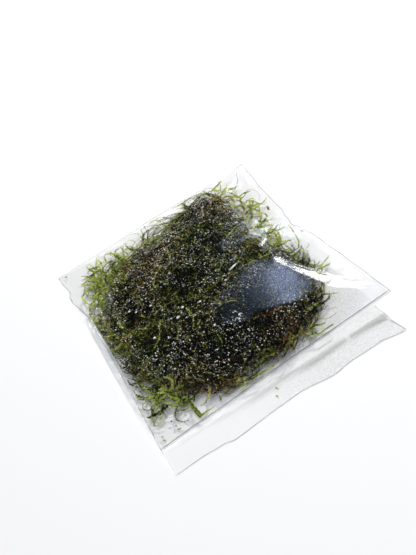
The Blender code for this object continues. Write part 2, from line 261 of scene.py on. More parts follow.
def lay_film():
    """Reads both films' heights off the frame's pouch and smooths its facets."""
    u, v = np.meshgrid(np.linspace(-1, 1, FILM_COLUMNS + 1), np.linspace(0, 1, FILM_ROWS + 1))
    x, y = place_in_bag(u, v)
    solid = bmesh.new()
    solid.from_mesh(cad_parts["bag_pouch"].data)
    tree = BVHTree.FromBMesh(solid)
    films = []
    inner_x, inner_y = place_in_bag(u * (1 - EDGE_INSET / HALF_WIDTH), np.clip(v, 0.001, 0.999))
    for start, direction in ((-RAY_START, 1), (RAY_START, -1)):
        height = np.zeros(u.shape)
        for row, column in np.ndindex(u.shape):
            place = Vector((inner_x[row, column], inner_y[row, column], start)) * MM
            hit = tree.ray_cast(place, Vector((0, 0, direction)))[0]
            if hit is None:
                hit = tree.find_nearest(Vector((place.x, place.y, MIDDLE_HEIGHT * MM)))[0]
            height[row, column] = hit.z / MM
        height[:, 0] = along(LEFT_Z, y[:, 0])
        height[:, -1] = along(RIGHT_Z, y[:, -1])
        height[-1] = along(FOLD_Z, x[-1])
        films.append(height)
    solid.free()
    for height in films:
        held = height[SEAL_ROW].copy()
        for _ in range(SMOOTHING):
            mean = (height[:-2, 1:-1] + height[2:, 1:-1] + height[1:-1, :-2] + height[1:-1, 2:]) / 4
            height[1:-1, 1:-1] = mean
            height[SEAL_ROW] = held
    bottom, top = films
    return x, y, u, v, bottom, top


def stretch_panels(x, y, v, top):
    """Gives the taut panels their slopes, and lets the rest of the film follow with its edges held.

    This is the sheet with the least squared misfit of slopes, found by conjugate gradients.
    Returns the sheet and how taut it is at each place, from 0 to 1.
    """
    pulls = [np.ones_like(x), np.ones_like(x)]
    misfits = [np.zeros_like(x), np.zeros_like(x)]
    steps = [np.gradient(x, axis=1), np.gradient(y, axis=0)]
    taut = np.zeros_like(x)
    for outline, slopes, pull, softness in PANELS:
        depth = depth_inside(outline, x, y)
        panel = depth > 0
        share = ease(depth / softness)
        taut = np.maximum(taut, share)
        for way, slope in enumerate(slopes):
            if slope is None:
                continue
            rise = np.gradient(top, axis=1 - way)
            misfit = slope * steps[way] - rise
            pulls[way][panel] = pull
            misfits[way][panel] += (share * (misfit - misfits[way]))[panel]
    free = np.zeros_like(x)
    free[v[:, 0] > (SEAL - MOUTH + SEAL_HOLD) / (FOLD - MOUTH)] = 1
    free[-1] = free[:, 0] = free[:, -1] = 0

    def gather(across, ahead):
        """Sums the pulls on each place from its neighbours."""
        total = np.zeros_like(x)
        total[:, :-1] -= across
        total[:, 1:] += across
        total[:-1] -= ahead
        total[1:] += ahead
        return total * free

    pull_x = (pulls[0][:, 1:] + pulls[0][:, :-1]) / 2
    pull_y = (pulls[1][1:] + pulls[1][:-1]) / 2
    change = np.zeros_like(x)
    left = gather(pull_x * (misfits[0][:, 1:] + misfits[0][:, :-1]) / 2,
                  pull_y * (misfits[1][1:] + misfits[1][:-1]) / 2)
    way, size = left.copy(), (left ** 2).sum()
    for _ in range(PANEL_ROUNDS):
        drag = gather(pull_x * np.diff(way, axis=1), pull_y * np.diff(way, axis=0)) + HOLD * way
        length = size / (way * drag).sum()
        change += length * way
        left -= length * drag
        size, before = (left ** 2).sum(), size
        way = left + way * size / before
    return top + change, taut


def crease_film(x, y, u, v, bottom, top):
    """Adds the taut panels, the creases and the ripples along the welds, and lets the flap down."""
    top, taut = stretch_panels(x, y, v, top)
    from_side = (1 - np.abs(u)) * HALF_WIDTH
    from_fold = (1 - v) * LENGTH
    loose = ease(np.minimum(from_side, from_fold) / LOOSE_EDGE)
    for (ax, ay), (bx, by), height, width in CREASES:
        run = np.array([bx - ax, by - ay])
        length = np.hypot(*run)
        part = ((x - ax) * run[0] + (y - ay) * run[1]) / length ** 2
        aside = np.abs((x - ax) * run[1] - (y - ay) * run[0]) / length
        body = ease(CREASE_FADE * part) * ease(CREASE_FADE * (1 - part))
        top = top + height * body * np.exp(-(aside / width) ** CREASE_ROUND)
    near_weld = np.exp(-from_side / RIPPLE_REACH)
    waves, waves_below = (ripple(x / RIPPLE_STRETCH, y, RIPPLE_LENGTH, seed) for seed in (1.5, 4.5))
    top = top + loose * (1 - taut) * near_weld * RIPPLE_HEIGHT * waves
    bottom = bottom + loose * near_weld * RIPPLE_BELOW * RIPPLE_HEIGHT * waves_below
    top = top + loose * (1 - taut) * SLACK_HEIGHT * ripple(x, y, SLACK_LENGTH, 9.5)
    bottom = np.maximum(bottom, 0.0)
    gap = np.minimum(MIDDLE_GAP * ease(from_side / GAP_EDGE), MIDDLE_GAP * ease(from_fold / GAP_EDGE))
    top = np.maximum(top, bottom + gap)
    flap = ease((SEAL_ROW - v * FILM_ROWS) / (SEAL_ROW * FLAP_FALL))
    return bottom + (FLAP_REST - bottom) * flap, top + (FLAP_REST + FILM - top) * flap


bag_x, bag_y, bag_u, bag_v, film_low, film_high = lay_film()
film_low, film_high = crease_film(bag_x, bag_y, bag_u, bag_v, film_low, film_high)


def film_height(heights, x, y):
    """Height of one of the films at any places in the bag."""
    u, v = share_of_bag(x, y)
    column = np.clip((u + 1) / 2 * FILM_COLUMNS, 0, FILM_COLUMNS - 1e-6)
    row = np.clip(v * FILM_ROWS, 0, FILM_ROWS - 1e-6)
    c, r = column.astype(int), row.astype(int)
    s, t = column - c, row - r
    near = heights[r, c] * (1 - s) + heights[r, c + 1] * s
    far = heights[r + 1, c] * (1 - s) + heights[r + 1, c + 1] * s
    return near * (1 - t) + far * t


def add_node(tree, kind, settings=None, links=None):
    """Adds a node to a material, sets its properties or sockets, and links outputs to its inputs."""
    item = tree.nodes.new(kind)
    for name, value in (settings or {}).items():
        if isinstance(name, str) and hasattr(item, name):
            setattr(item, name, value)
        else:
            item.inputs[name].default_value = value
    for name, source in (links or {}).items():
        tree.links.new(source, item.inputs[name])
    return item


def new_material(name):
    """A bare material with only its output node."""
    material = bpy.data.materials.new(name)
    material.use_nodes = True
    tree = material.node_tree
    tree.nodes.clear()
    return material, tree, add_node(tree, "ShaderNodeOutputMaterial")


def place_piece(name, mesh, material, replaced=()):
    """Puts a finished mesh in the scene as a piece of the object."""
    mesh.materials.append(material)
    piece = bpy.data.objects.new(name, mesh)
    bpy.context.scene.collection.objects.link(piece)
    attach(piece, "root")
    if replaced:
        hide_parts(*replaced)
    return piece


def polyethylene_film():
    """Clear blown polyethylene: nearly invisible head on, a bright soft shine at a slant."""
    material, tree, output = new_material("clear blown polyethylene film")
    where = add_node(tree, "ShaderNodeTexCoord")
    crinkle = add_node(tree, "ShaderNodeTexNoise", {"Scale": 1 / (CRINKLE * MM), "Detail": 3.0},
                       {"Vector": where.outputs["Object"]})
    bump = add_node(tree, "ShaderNodeBump", {"Strength": 1.0, "Distance": CRINKLE_HEIGHT * MM},
                    {"Height": crinkle.outputs["Fac"]})
    facing = add_node(tree, "ShaderNodeLayerWeight", {"Blend": 0.5})
    slant = add_node(tree, "ShaderNodeMath", {"operation": "POWER", 1: FILM_SLANT},
                     {0: facing.outputs["Facing"]})
    share = add_node(tree, "ShaderNodeMath", {"operation": "MULTIPLY_ADD", 1: 1 - FILM_HEAD_ON,
                                              2: FILM_HEAD_ON}, {0: slant.outputs["Value"]})
    side = add_node(tree, "ShaderNodeNewGeometry")
    share = add_node(tree, "ShaderNodeMix", {"data_type": "FLOAT", 3: 0.0},
                     {0: side.outputs["Backfacing"], 2: share.outputs["Value"]})
    # Painted shadow: the lower film's grey tint beside the moss and along the seal's band, mottled by
    # drops.
    drops = add_node(tree, "ShaderNodeTexNoise", {"Scale": 1 / (DROP_SIZE * MM), "Detail": 2.0},
                     {"Vector": where.outputs["Object"]})
    drops = add_node(tree, "ShaderNodeMapRange", {1: DROP_RANGE[0], 2: DROP_RANGE[1]},
                     {0: drops.outputs["Fac"]})
    damp_shadow = add_node(tree, "ShaderNodeAttribute", {"attribute_name": "damp_shadow"})
    painted_seal_shadow = add_node(tree, "ShaderNodeAttribute", {"attribute_name": "painted_seal_shadow"})
    grey = add_node(tree, "ShaderNodeMath", {"operation": "MULTIPLY_ADD"},
                    {0: drops.outputs["Result"], 1: damp_shadow.outputs["Fac"], 2: painted_seal_shadow.outputs["Fac"]})
    tint = add_node(tree, "ShaderNodeMix",
                    {"data_type": "RGBA", 6: colour(FILM_TINT), 7: colour(DAMP_SHADOW_TINT)},
                    {0: grey.outputs["Value"]})
    clear = add_node(tree, "ShaderNodeBsdfTransparent", {}, {"Color": tint.outputs[2]})
    gloss = add_node(tree, "ShaderNodeBsdfAnisotropic",
                     {"Color": colour(FILM_GLOSS), "Roughness": FILM_ROUGHNESS},
                     {"Normal": bump.outputs["Normal"]})
    mix = add_node(tree, "ShaderNodeMixShader", {}, {0: share.outputs["Result"],
                                                     1: clear.outputs["BSDF"],
                                                     2: gloss.outputs["BSDF"]})
    tree.links.new(mix.outputs["Shader"], output.inputs["Surface"])
    return material


def make_film():
    """Folds one sheet at the bottom of the bag, welds its sides and gives it the film's thickness.

    The grid's rows run from the flap's edge up the lower film to the fold, and back to the seal.
    """
    bm = bmesh.new()
    rows = 2 * FILM_ROWS - SEAL_ROW
    bmesh.ops.create_grid(bm, x_segments=FILM_COLUMNS, y_segments=rows, size=0.5)
    # Painted shadow on the lower film: the shade beside the moss, the mottled flap and the seal's
    # shadow band.
    painted_damp_shadow = DAMP_SHADOW_SHARE * ease(depth_inside(DAMP_SHADOW, bag_x, bag_y) / DAMP_SHADOW_EDGE)
    painted_damp_shadow = painted_damp_shadow + FLAP_MOTTLE * (bag_v * FILM_ROWS < SEAL_ROW) * ease(0.5 + bag_u)
    from_seal_shadow = np.abs(MOUTH + bag_v * (FOLD - MOUTH) - SEAL + along(SEAL_SHADOW_OFFSET, bag_u))
    painted_seal_shadow_share = along(SEAL_SHADOW_STRENGTH, bag_u) * ease(1.5 - from_seal_shadow / SEAL_SHADOW_HALF_WIDTH)
    damp_shadow = bm.verts.layers.float.new("damp_shadow")
    painted_seal_shadow = bm.verts.layers.float.new("painted_seal_shadow")
    for vert in bm.verts:
        column = round((vert.co.x + 0.5) * FILM_COLUMNS)
        step = round((vert.co.y + 0.5) * rows)
        upper = step > FILM_ROWS
        row = 2 * FILM_ROWS - step if upper else step
        height = film_high if upper else film_low
        vert.co = Vector((bag_x[row, column], bag_y[row, column], height[row, column])) * MM
        vert[damp_shadow] = 0.0 if upper else painted_damp_shadow[row, column]
        vert[painted_seal_shadow] = 0.0 if upper else painted_seal_shadow_share[row, column]
    bmesh.ops.reverse_faces(bm, faces=bm.faces)
    bmesh.ops.remove_doubles(bm, verts=bm.verts, dist=0.00001)
    mesh = bpy.data.meshes.new("bag_film")
    bm.to_mesh(mesh)
    bm.free()
    mesh.shade_smooth()
    film = place_piece("bag_film", mesh, polyethylene_film(), ["bag_pouch"])
    wall = film.modifiers.new("film", "SOLIDIFY")
    wall.thickness = FILM * MM
    wall.offset = -1


make_film()

# The press seal, the side welds and the film's edges. A rib of solid polyethylene snaps into a groove
# across the bag, a hot knife left a melted bead down each side, and the cut edges and the fold are
# thickened lines. All bend light like thin glass rods.
SEAL_RIB_RADIUS = 0.22
SEAL_RIB_OFFSETS = (0.66, 0.88)
SEAL_RIB_RINGS = 120
WELD_RADIUS = 0.16
LIP_RADIUS = 0.12
FOLD_RADIUS = 0.09
WELD_RINGS = 110
TUBE_SIDES = 8
# How quickly a bead swells from its end to its full width, and how thin the end is
BEAD_TAPER = 60.0
BEAD_TIP = 0.15
BEAD_TINT = "#D2D4D3"
BEAD_ROUGHNESS = 0.08
POLYETHYLENE_IOR = 1.51


def straight_tube(rings, sides, start_radius, end_radius):
    """A straight tube whose X runs from 0 to 1, with its points and triangles."""
    bm = bmesh.new()
    turn = Matrix.Translation((0.5, 0, 0)) @ Matrix.Rotation(math.pi / 2, 4, "Y")
    bmesh.ops.create_cone(bm, cap_ends=True, segments=sides, radius1=start_radius,
                          radius2=end_radius, depth=1.0, matrix=turn)
    long_edges = [e for e in bm.edges if abs(e.verts[0].co.x - e.verts[1].co.x) > 0.5]
    if rings > 1:
        bmesh.ops.subdivide_edges(bm, edges=long_edges, cuts=rings - 1)
    bmesh.ops.recalc_face_normals(bm, faces=bm.faces)
    return bm


def take_shape(bm):
    """Takes a form's points and triangles out of a bmesh."""
    bmesh.ops.triangulate(bm, faces=bm.faces, quad_method="LONG_EDGE")
    bm.verts.index_update()
    points = np.array([vert.co for vert in bm.verts])
    triangles = np.array([[vert.index for vert in face.verts] for face in bm.faces])
    bm.free()
    return points, triangles


def bend(points, lines, ups, widths):
    """Bends a copy of a straight form along each line.

    A point holds its share of the length, and its place across and upwards in millimetres.
    Each line is a row of places, each up the way upwards there, and each width a factor.
    """
    steps = lines.shape[1] - 1
    ahead = np.gradient(lines, axis=1)
    ahead /= np.linalg.norm(ahead, axis=2, keepdims=True)
    aside = np.cross(ups, ahead)
    aside /= np.linalg.norm(aside, axis=2, keepdims=True)
    above = np.cross(ahead, aside)
    step = np.clip((points[:, 0] * steps).astype(int), 0, steps - 1)
    part = (points[:, 0] * steps - step)[None, :, None]
    widths = np.asarray(widths, float)[:, None, None]

    def between(values):
        return values[:, step] * (1 - part) + values[:, step + 1] * part

    return (between(lines) + between(aside) * points[:, 1][None, :, None] * widths
            + between(above) * points[:, 2][None, :, None] * widths)


def join_mesh(name, points, triangles, smooth=False, **values):
    """Makes one mesh of many points and triangles, with a named number at each point."""
    mesh = bpy.data.meshes.new(name)
    mesh.from_pydata(points * MM, [], triangles)
    for label, numbers in values.items():
        layer = mesh.attributes.new(label, "FLOAT", "POINT")
        layer.data.foreach_set("value", np.asarray(numbers, np.float32))
    if smooth:
        mesh.shade_smooth()
    mesh.update()
    return mesh


def join_copies(points, triangles):
    """Numbers the triangles of several equal copies that stand one after another."""
    copies, count = points.shape[:2]
    shift = (np.arange(copies) * count)[:, None, None]
    return points.reshape(-1, 3), (triangles[None] + shift).reshape(-1, 3)


def solid_polyethylene():
    """Solid clear polyethylene: it bends light, so it has dark edges and a bright core."""
    material, tree, output = new_material("solid clear polyethylene bead")
    shader = add_node(tree, "ShaderNodeBsdfPrincipled",
                      {"Base Color": colour(BEAD_TINT), "Roughness": BEAD_ROUGHNESS,
                       "IOR": POLYETHYLENE_IOR, "Transmission Weight": 1.0})
    tree.links.new(shader.outputs["BSDF"], output.inputs["Surface"])
    return material


def draw_beads(name, lines, radius, rings, material, raised=True):
    """Draws round beads of plastic along lines. Raised ones let all light through to the floor."""
    points, triangles = take_shape(straight_tube(rings, TUBE_SIDES, radius, radius))
    from_end = np.minimum(points[:, :1], 1 - points[:, :1])
    points[:, 1:] *= BEAD_TIP + (1 - BEAD_TIP) * ease(BEAD_TAPER * from_end)
    lines = np.array(lines)
    ups = np.broadcast_to((0.0, 0.0, 1.0), lines.shape)
    bent = bend(points, lines, ups, np.ones(len(lines)))
    mesh = join_mesh(name, *join_copies(bent, triangles), smooth=True)
    piece = place_piece(name, mesh, material, ["bag_pouch"])
    piece.visible_shadow = not raised


def make_beads():
    """Draws the seal's ribs, the side welds, the film's cut edges and the fold."""
    bead = solid_polyethylene()
    across = np.linspace(-1, 1, SEAL_RIB_RINGS + 1)
    ribs = []
    for offset in SEAL_RIB_OFFSETS:
        x, y = place_in_bag(across, np.full_like(across, (SEAL + offset - MOUTH) / (FOLD - MOUTH)))
        z = (film_height(film_low, x, y) + film_height(film_high, x, y)) / 2
        ribs.append(np.stack([x, y, np.maximum(z, SEAL_RIB_RADIUS)], axis=1))
    draw_beads("press_seal_ribs", ribs, SEAL_RIB_RADIUS, SEAL_RIB_RINGS, bead)
    seal_at = SEAL_ROW / FILM_ROWS
    sides = []
    for side, start, end, rings in ((0, 0.0, 1.0, WELD_RINGS), (-1, seal_at, 1.0, WELD_RINGS),
                                    (-1, 0.0, seal_at - 1 / FILM_ROWS, SEAL_RIB_RINGS)):
        share = np.linspace(start, end, rings + 1)
        x, y = place_in_bag(np.full_like(share, 1.0 if side else -1.0), share)
        z = np.interp(share, np.linspace(0, 1, FILM_ROWS + 1), film_low[:, side])
        sides.append(np.stack([x, y, np.maximum(z, WELD_RADIUS)], axis=1))
    left_weld, right_weld, flap_side = sides
    draw_beads("side_weld_beads", [left_weld, right_weld], WELD_RADIUS, WELD_RINGS, bead)
    edges = []
    places = np.linspace(0, FILM_COLUMNS, SEAL_RIB_RINGS + 1)
    for heights, row in ((film_low, 0), (film_high, SEAL_ROW)):
        x = np.interp(places, np.arange(FILM_COLUMNS + 1), bag_x[row])
        y = np.interp(x, bag_x[row], bag_y[row])
        z = np.interp(x, bag_x[row], heights[row])
        edges.append(np.stack([x, y, np.maximum(z, LIP_RADIUS)], axis=1))
    flap_lip, upper_lip = edges
    draw_beads("flap_edges", [flap_lip, flap_side], LIP_RADIUS, SEAL_RIB_RINGS, bead, raised=False)
    draw_beads("upper_lip_edge", [upper_lip], LIP_RADIUS, SEAL_RIB_RINGS, bead)
    x, y = place_in_bag(across, np.full_like(across, 1.0))
    fold = np.stack([x, y, np.maximum(film_height(film_low, x, y), FOLD_RADIUS)], axis=1)
    draw_beads("fold_edge", [fold], FOLD_RADIUS, SEAL_RIB_RINGS, bead)


make_beads()

# The moss. Java moss is a mat of thin creeping stems that branch as they please, each set with two
# rows of pointed leaves one to one and a half millimetres long. It was scooped up wet and pressed
# into the bag, so the stems lie matted under the film. It is not fixed to anything.
SHOOT_STEPS = 9
SHOOT_LENGTHS = (8.0, 17.0)
STEM_RADIUS = 0.10
# How dark the stem is, how deeply a leaf is folded, how it tilts in degrees and how leaves differ in
# tone, how pale the leaf at the tip and the shoot's end are, and how far a shoot is twisted in degrees
STEM_SHADE = -0.12
LEAF_FOLD = 0.09
LEAF_CURL = 0.006
LEAF_TILT = 18
LEAF_SPREAD = 0.26
TIP_FLECK = 0.15
END_LIGHT = 0.14
TWIST = 28
# How far the moss keeps off the films, and how the mat thins towards its edge
MAT_GAP = 0.22
LEAF_GAP = 0.03
EDGE_SLOPE = 9.0
EDGE_THICKNESS = 3.6
# How a shoot bends as it creeps, and how it turns back at the mat's edge
CURL = 0.05
SWAY = 0.07
SWAY_TURN = 0.9
TURN_BACK = 0.26
TURN_REACH = (4.0, 5.0)
# How near the bag's sides, seal and fold the moss may come, as shares of the bag
MOST_ACROSS = 0.975
LEAST_ALONG = 0.02
MOST_ALONG = 0.985

# Kinds of shoot: length, leaf length, leaf width, space between leaves on one side, leaves left
# and how far the leaves stand out in degrees
SHOOT_KINDS = {
    "frond": (12.0, 1.05, 0.50, 0.38, 1.00, 40),
    "young": (9.0, 0.85, 0.42, 0.36, 1.00, 40),
    "long": (15.0, 1.00, 0.46, 0.46, 0.96, 40),
    "ragged": (12.0, 0.95, 0.40, 0.66, 0.75, 40),
    "bare": (14.0, 0.70, 0.30, 1.80, 0.60, 40),
    "plump": (11.0, 1.05, 0.70, 0.40, 1.00, 20),
}

LEAF_TONES = [(0.0, "#040604"), (0.25, "#202A18"), (0.5, "#5C6B2E"), (0.75, "#B8CE4C"),
              (1.0, "#E4EC98")]
RUST_TONES = [(0.0, "#0D0906"), (0.25, "#3C2917"), (0.5, "#7E5429"), (0.75, "#B98646"),
              (1.0, "#DDBD88")]
# Places where old brown stems gather: middle and radius
RUST_SPOTS = [(28, 44, 9), (-18, 32, 12), (13, -37, 9), (-22, -41, 7), (-37, -36, 6), (51, 27, 3),
              (32, -28, 6), (-30, 10, 6), (0, -8, 5)]
RUST_SHARE = 0.92
RUST_LEAST = 0.06
RUST_RANGE = 0.34
RUST_PATCH = 13.0
RUST_SCATTER = 0.22
RUST_LIFT = 0.10

LEAF_ROUGHNESS = 0.50
LEAF_SHINE = 0.30
LEAF_GLOW = 0.46
WET_COAT = 0.12
WET_ROUGHNESS = 0.25
CELL_SIZE = 0.5
CELL_HEIGHT = 0.03

# Thin places where the floor shows between the shoots: middle and radius. Then the share of shoots
# that is missing there, and how much paler the others are painted, as painted light coming through the
# thin moss.
THIN_PATCHES = [(-46, 42, 6), (-49, 30, 4.5), (-44, 52, 5), (-52, -30, 4), (-44, -42, 3),
                (-50, -38, 4), (-36, -49, 3), (-2, 46, 3), (-12, 44, 3.5), (42, 42, 6), (42, 34, 5),
                (43, 27, 5), (40, 17, 4), (40, 6, 3.5), (46, 48, 5), (-22, 53, 4), (44, 0, 4)]
THIN_SHARE = 0.78
THIN_PAINTED_LIGHT = 0.26
# Places where the moss is painted nearly black, as painted shade where the mat is deep and under the
# film's sheen: middle and radius. Then how much darker it is there, and the share of its tone's spread
# that it loses.
PAINTED_SHADE_SPOTS = [(-14, -34, 14), (4, -38, 11), (-28, -24, 9), (-6, 10, 9), (-36, 8, 7), (12, 22, 8),
              (26, -38, 6), (30, -22, 11), (14, -22, 11), (0, -22, 8)]
PAINTED_SHADE_DEPTH = 0.25
PAINTED_SHADE_EVEN = 0.6
# Painted light at the mat's edge, where light comes through the thin fringe: how much paler the shoots
# are painted towards it, by angle round its middle in degrees, then tone. Then from how far inside the
# edge, and over how many millimetres.
PAINTED_EDGE_LIGHT = [(-180, 0.24), (-160, 0.16), (-130, 0.14), (-105, 0.10), (-60, 0.08), (-15, 0.14),
             (5, 0.24), (25, 0.32), (90, 0.32), (150, 0.40), (168, 0.36), (180, 0.24)]
PAINTED_LIGHT_START = 11
PAINTED_LIGHT_LENGTH = 13
TONE_RANGE = (-0.15, 0.85)
# Small patches of light and shade: how strong and how large
DAPPLE = 0.17
DAPPLE_SIZE = 2.4
# How far the shoots stay inside the solid's edge: angle round its middle in degrees, then millimetres
EDGE_TRIM = [(-180, 1.0), (-165, 1.5), (-150, 1.6), (-130, 1.0), (-110, 1.6), (-90, 2.4), (-70, 1.6),
             (-50, 0.0), (-35, 1.5), (-15, 0.0), (0, 0.0), (15, 3.0), (30, 0.0), (40, 4.0), (55, 1.6),
             (70, 4.0), (85, 7.5), (100, 2.5), (110, 2.0), (125, 4.0), (140, 5.0), (152, 1.0),
             (180, 1.0)]
# The share of shoots that stick out of the edge, and how much further they stray than the others
HAIRY_SHARE = 0.14
HAIRY_STRAY = 4.0

mat_points = corners("moss_mat")
mat_low, mat_high = mat_points.min(0), mat_points.max(0)
mat_middle = (mat_low + mat_high)[:2] / 2
rim = mat_points[(mat_points[:, 2] > 0.2 * mat_high[2]) & (mat_points[:, 2] < 0.45 * mat_high[2])]
rim_angles = np.arctan2(rim[:, 1] - mat_middle[1], rim[:, 0] - mat_middle[0])
rim_reach = np.hypot(rim[:, 0] - mat_middle[0], rim[:, 1] - mat_middle[1])
rim_order = np.argsort(rim_angles)
rim_angles, rim_reach = rim_angles[rim_order], rim_reach[rim_order]


def mat_reach(x, y):
    """How far a place lies from the mat's middle, and how far the mat reaches that way."""
    dx, dy = x - mat_middle[0], y - mat_middle[1]
    angle = np.arctan2(dy, dx)
    edge = np.interp(angle, rim_angles, rim_reach, period=2 * math.pi)
    return np.hypot(dx, dy), edge - along(EDGE_TRIM, np.degrees(angle))


def add_leaf(bm, layer, place, length, width, fold, curl, fleck):
    """Adds one pointed leaf, folded along its midrib, at a place on a shoot."""
    leaf = bmesh.ops.create_grid(bm, x_segments=1, y_segments=1, size=0.5)["verts"]
    for vert in leaf:
        across = vert.co.y - vert.co.x
        share = 0.4 if abs(across) > 0.5 else (vert.co.x + vert.co.y + 1) / 2
        vert.co = Vector((length * share, width / 2 * across,
                          fold * abs(across) + curl * share * share))
        vert[layer] = fleck
    bmesh.ops.transform(bm, matrix=place, verts=leaf)


def grow_shoot(kind, seed):
    """Grows one straight shoot: a three-sided stem with two rows of leaves.

    X is a share of the length. Returns points, triangles and a fleck of tone for each point.
    """
    length, leaf_length, leaf_width, gap, kept, standing = SHOOT_KINDS[kind]
    rng = np.random.default_rng(seed)
    bm = straight_tube(5, 3, STEM_RADIUS, STEM_RADIUS * 0.5)
    layer = bm.verts.layers.float.new("fleck")
    for vert in bm.verts:
        vert.co.x *= length
        vert[layer] = STEM_SHADE
    for side in (-1, 1):
        start = gap * (0.5 + 0.5 * rng.random())
        for at in np.arange(start, length, gap):
            if rng.random() > kept:
                continue
            share = at / length
            size = (0.75 + 0.5 * rng.random()) * (1 - 0.45 * share ** 3)
            sweep = math.radians(standing * (1 + 0.35 * rng.standard_normal() - 0.3 * share))
            tilt = math.radians(LEAF_TILT * rng.standard_normal())
            place = (Matrix.Translation((at, side * STEM_RADIUS * 0.6, 0))
                     @ Matrix.Rotation(side * sweep, 4, "Z") @ Matrix.Rotation(tilt, 4, "X"))
            curl = LEAF_CURL * standing * rng.standard_normal() * size
            fleck = LEAF_SPREAD * (rng.exponential() - 0.8)
            add_leaf(bm, layer, place, leaf_length * size, leaf_width * size, LEAF_FOLD * size,
                     curl, fleck)
    tip = Matrix.Translation((length - 0.1, 0, 0))
    add_leaf(bm, layer, tip, leaf_length * 0.8, leaf_width * 0.7, 0.08, 0.0, TIP_FLECK)
    for vert in bm.verts:
        vert.co.x /= length
    flecks = np.array([vert[layer] for vert in bm.verts])
    points, triangles = take_shape(bm)
    return points, triangles, flecks


def wander(rng, x, y, headings, lengths, reach, turn, curl):
    """Lets shoots creep from their roots with bends of their own, and follow the mat's edge.

    reach is how far outside the mat's outline each may stray. Returns rows of X and Y.
    """
    step = lengths / SHOOT_STEPS
    bends = rng.normal(0, curl, len(x))
    sway = rng.normal(0, SWAY, len(x))
    phase = rng.uniform(0, 2 * math.pi, len(x))
    xs, ys = [x], [y]
    for k in range(SHOOT_STEPS):
        far, edge = mat_reach(xs[-1], ys[-1])
        out = np.arctan2(ys[-1] - mat_middle[1], xs[-1] - mat_middle[0])
        off = np.arctan2(np.sin(headings - out), np.cos(headings - out))
        near_edge = ease((far - edge - reach + TURN_REACH[0]) / TURN_REACH[1])
        outward = near_edge * ease(1.3 - np.abs(off) / 1.6)
        headings = headings + (bends + sway * np.sin(phase + SWAY_TURN * k)) * step
        headings = headings + turn * outward * np.where(off < 0, -1, 1) * step
        xs.append(xs[-1] + step * np.cos(headings))
        ys.append(ys[-1] + step * np.sin(headings))
    return np.stack(xs, 1), np.stack(ys, 1)


def keep_in_bag(x, y):
    """Moves places that stray too near the bag's edges back inside it."""
    u, v = share_of_bag(x, y)
    seal_share = (SEAL - MOUTH) / (FOLD - MOUTH)
    return place_in_bag(np.clip(u, -MOST_ACROSS, MOST_ACROSS),
                        np.clip(v, seal_share + LEAST_ALONG, MOST_ALONG))


def lift(x, y, levels):
    """Height of places between the films, thinning towards the mat's edge. Levels go from 0 to 1."""
    low = film_height(film_low, x, y) + FILM + MAT_GAP
    high = film_height(film_high, x, y) - FILM - MAT_GAP
    far, edge = mat_reach(x, y)
    slope = ease((edge - far) / EDGE_SLOPE + 0.15)
    cap = low + EDGE_THICKNESS + (high - low - EDGE_THICKNESS) * slope
    high = np.maximum(np.minimum(high, cap), low)
    return low + (high - low) * np.clip(levels, 0, 1)


def scatter(rng, count, inset):
    """Random places inside the mat's outline, drawn in by some millimetres."""
    x = rng.uniform(mat_low[0], mat_high[0], count * 3)
    y = rng.uniform(mat_low[1], mat_high[1], count * 3)
    far, edge = mat_reach(x, y)
    inside = np.flatnonzero(far < edge - inset)[:count]
    return x[inside], y[inside]


def rust_at(x, y):
    """How brown the moss is at places, in patches."""
    most = RUST_LEAST + RUST_RANGE * ease(0.25 + 0.8 * ripple(x, y, RUST_PATCH, 7.7))
    for px, py, radius in RUST_SPOTS:
        most = np.maximum(most, RUST_SHARE * ease(1.3 - np.hypot(x - px, y - py) / radius))
    return most


def thinness(x, y):
    """How thin the moss is at places, from 0 to 1."""
    most = np.zeros_like(x)
    for px, py, radius in THIN_PATCHES:
        most = np.maximum(most, ease((radius * 1.25 - np.hypot(x - px, y - py)) / (radius * 0.5)))
    return most


def painted_shade(x, y):
    """How much painted shade darkens the moss at places, from 0 to 1."""
    most = np.zeros_like(x)
    for px, py, radius in PAINTED_SHADE_SPOTS:
        most = np.maximum(most, ease(1.3 - np.hypot(x - px, y - py) / radius))
    return most


def between_films(points):
    """Presses points that poke through either film back between them."""
    low = film_height(film_low, points[:, 0], points[:, 1]) + FILM
    high = film_height(film_high, points[:, 0], points[:, 1]) - FILM - LEAF_GAP
    points[:, 2] = np.clip(points[:, 2], low, np.maximum(high, low))
    return points


def film_up(x, y):
    """The way upwards, square to the upper film."""
    step = 0.8
    slope_x = (film_height(film_high, x + step, y) - film_height(film_high, x - step, y)) / (2 * step)
    slope_y = (film_height(film_high, x, y + step) - film_height(film_high, x, y - step)) / (2 * step)
    up = np.stack([-slope_x, -slope_y, np.ones_like(x)], axis=-1)
    return up / np.linalg.norm(up, axis=-1, keepdims=True)


def tone_ramp(tree, tones, source):
    """Adds a colour ramp that runs through named tones."""
    ramp = add_node(tree, "ShaderNodeValToRGB", {}, {"Fac": source})
    stops = ramp.color_ramp.elements
    while len(stops) < len(tones):
        stops.new(0.5)
    for stop, (place, shade) in zip(stops, tones):
        stop.position = place
        stop.color = colour(shade)
    return ramp.outputs["Color"]


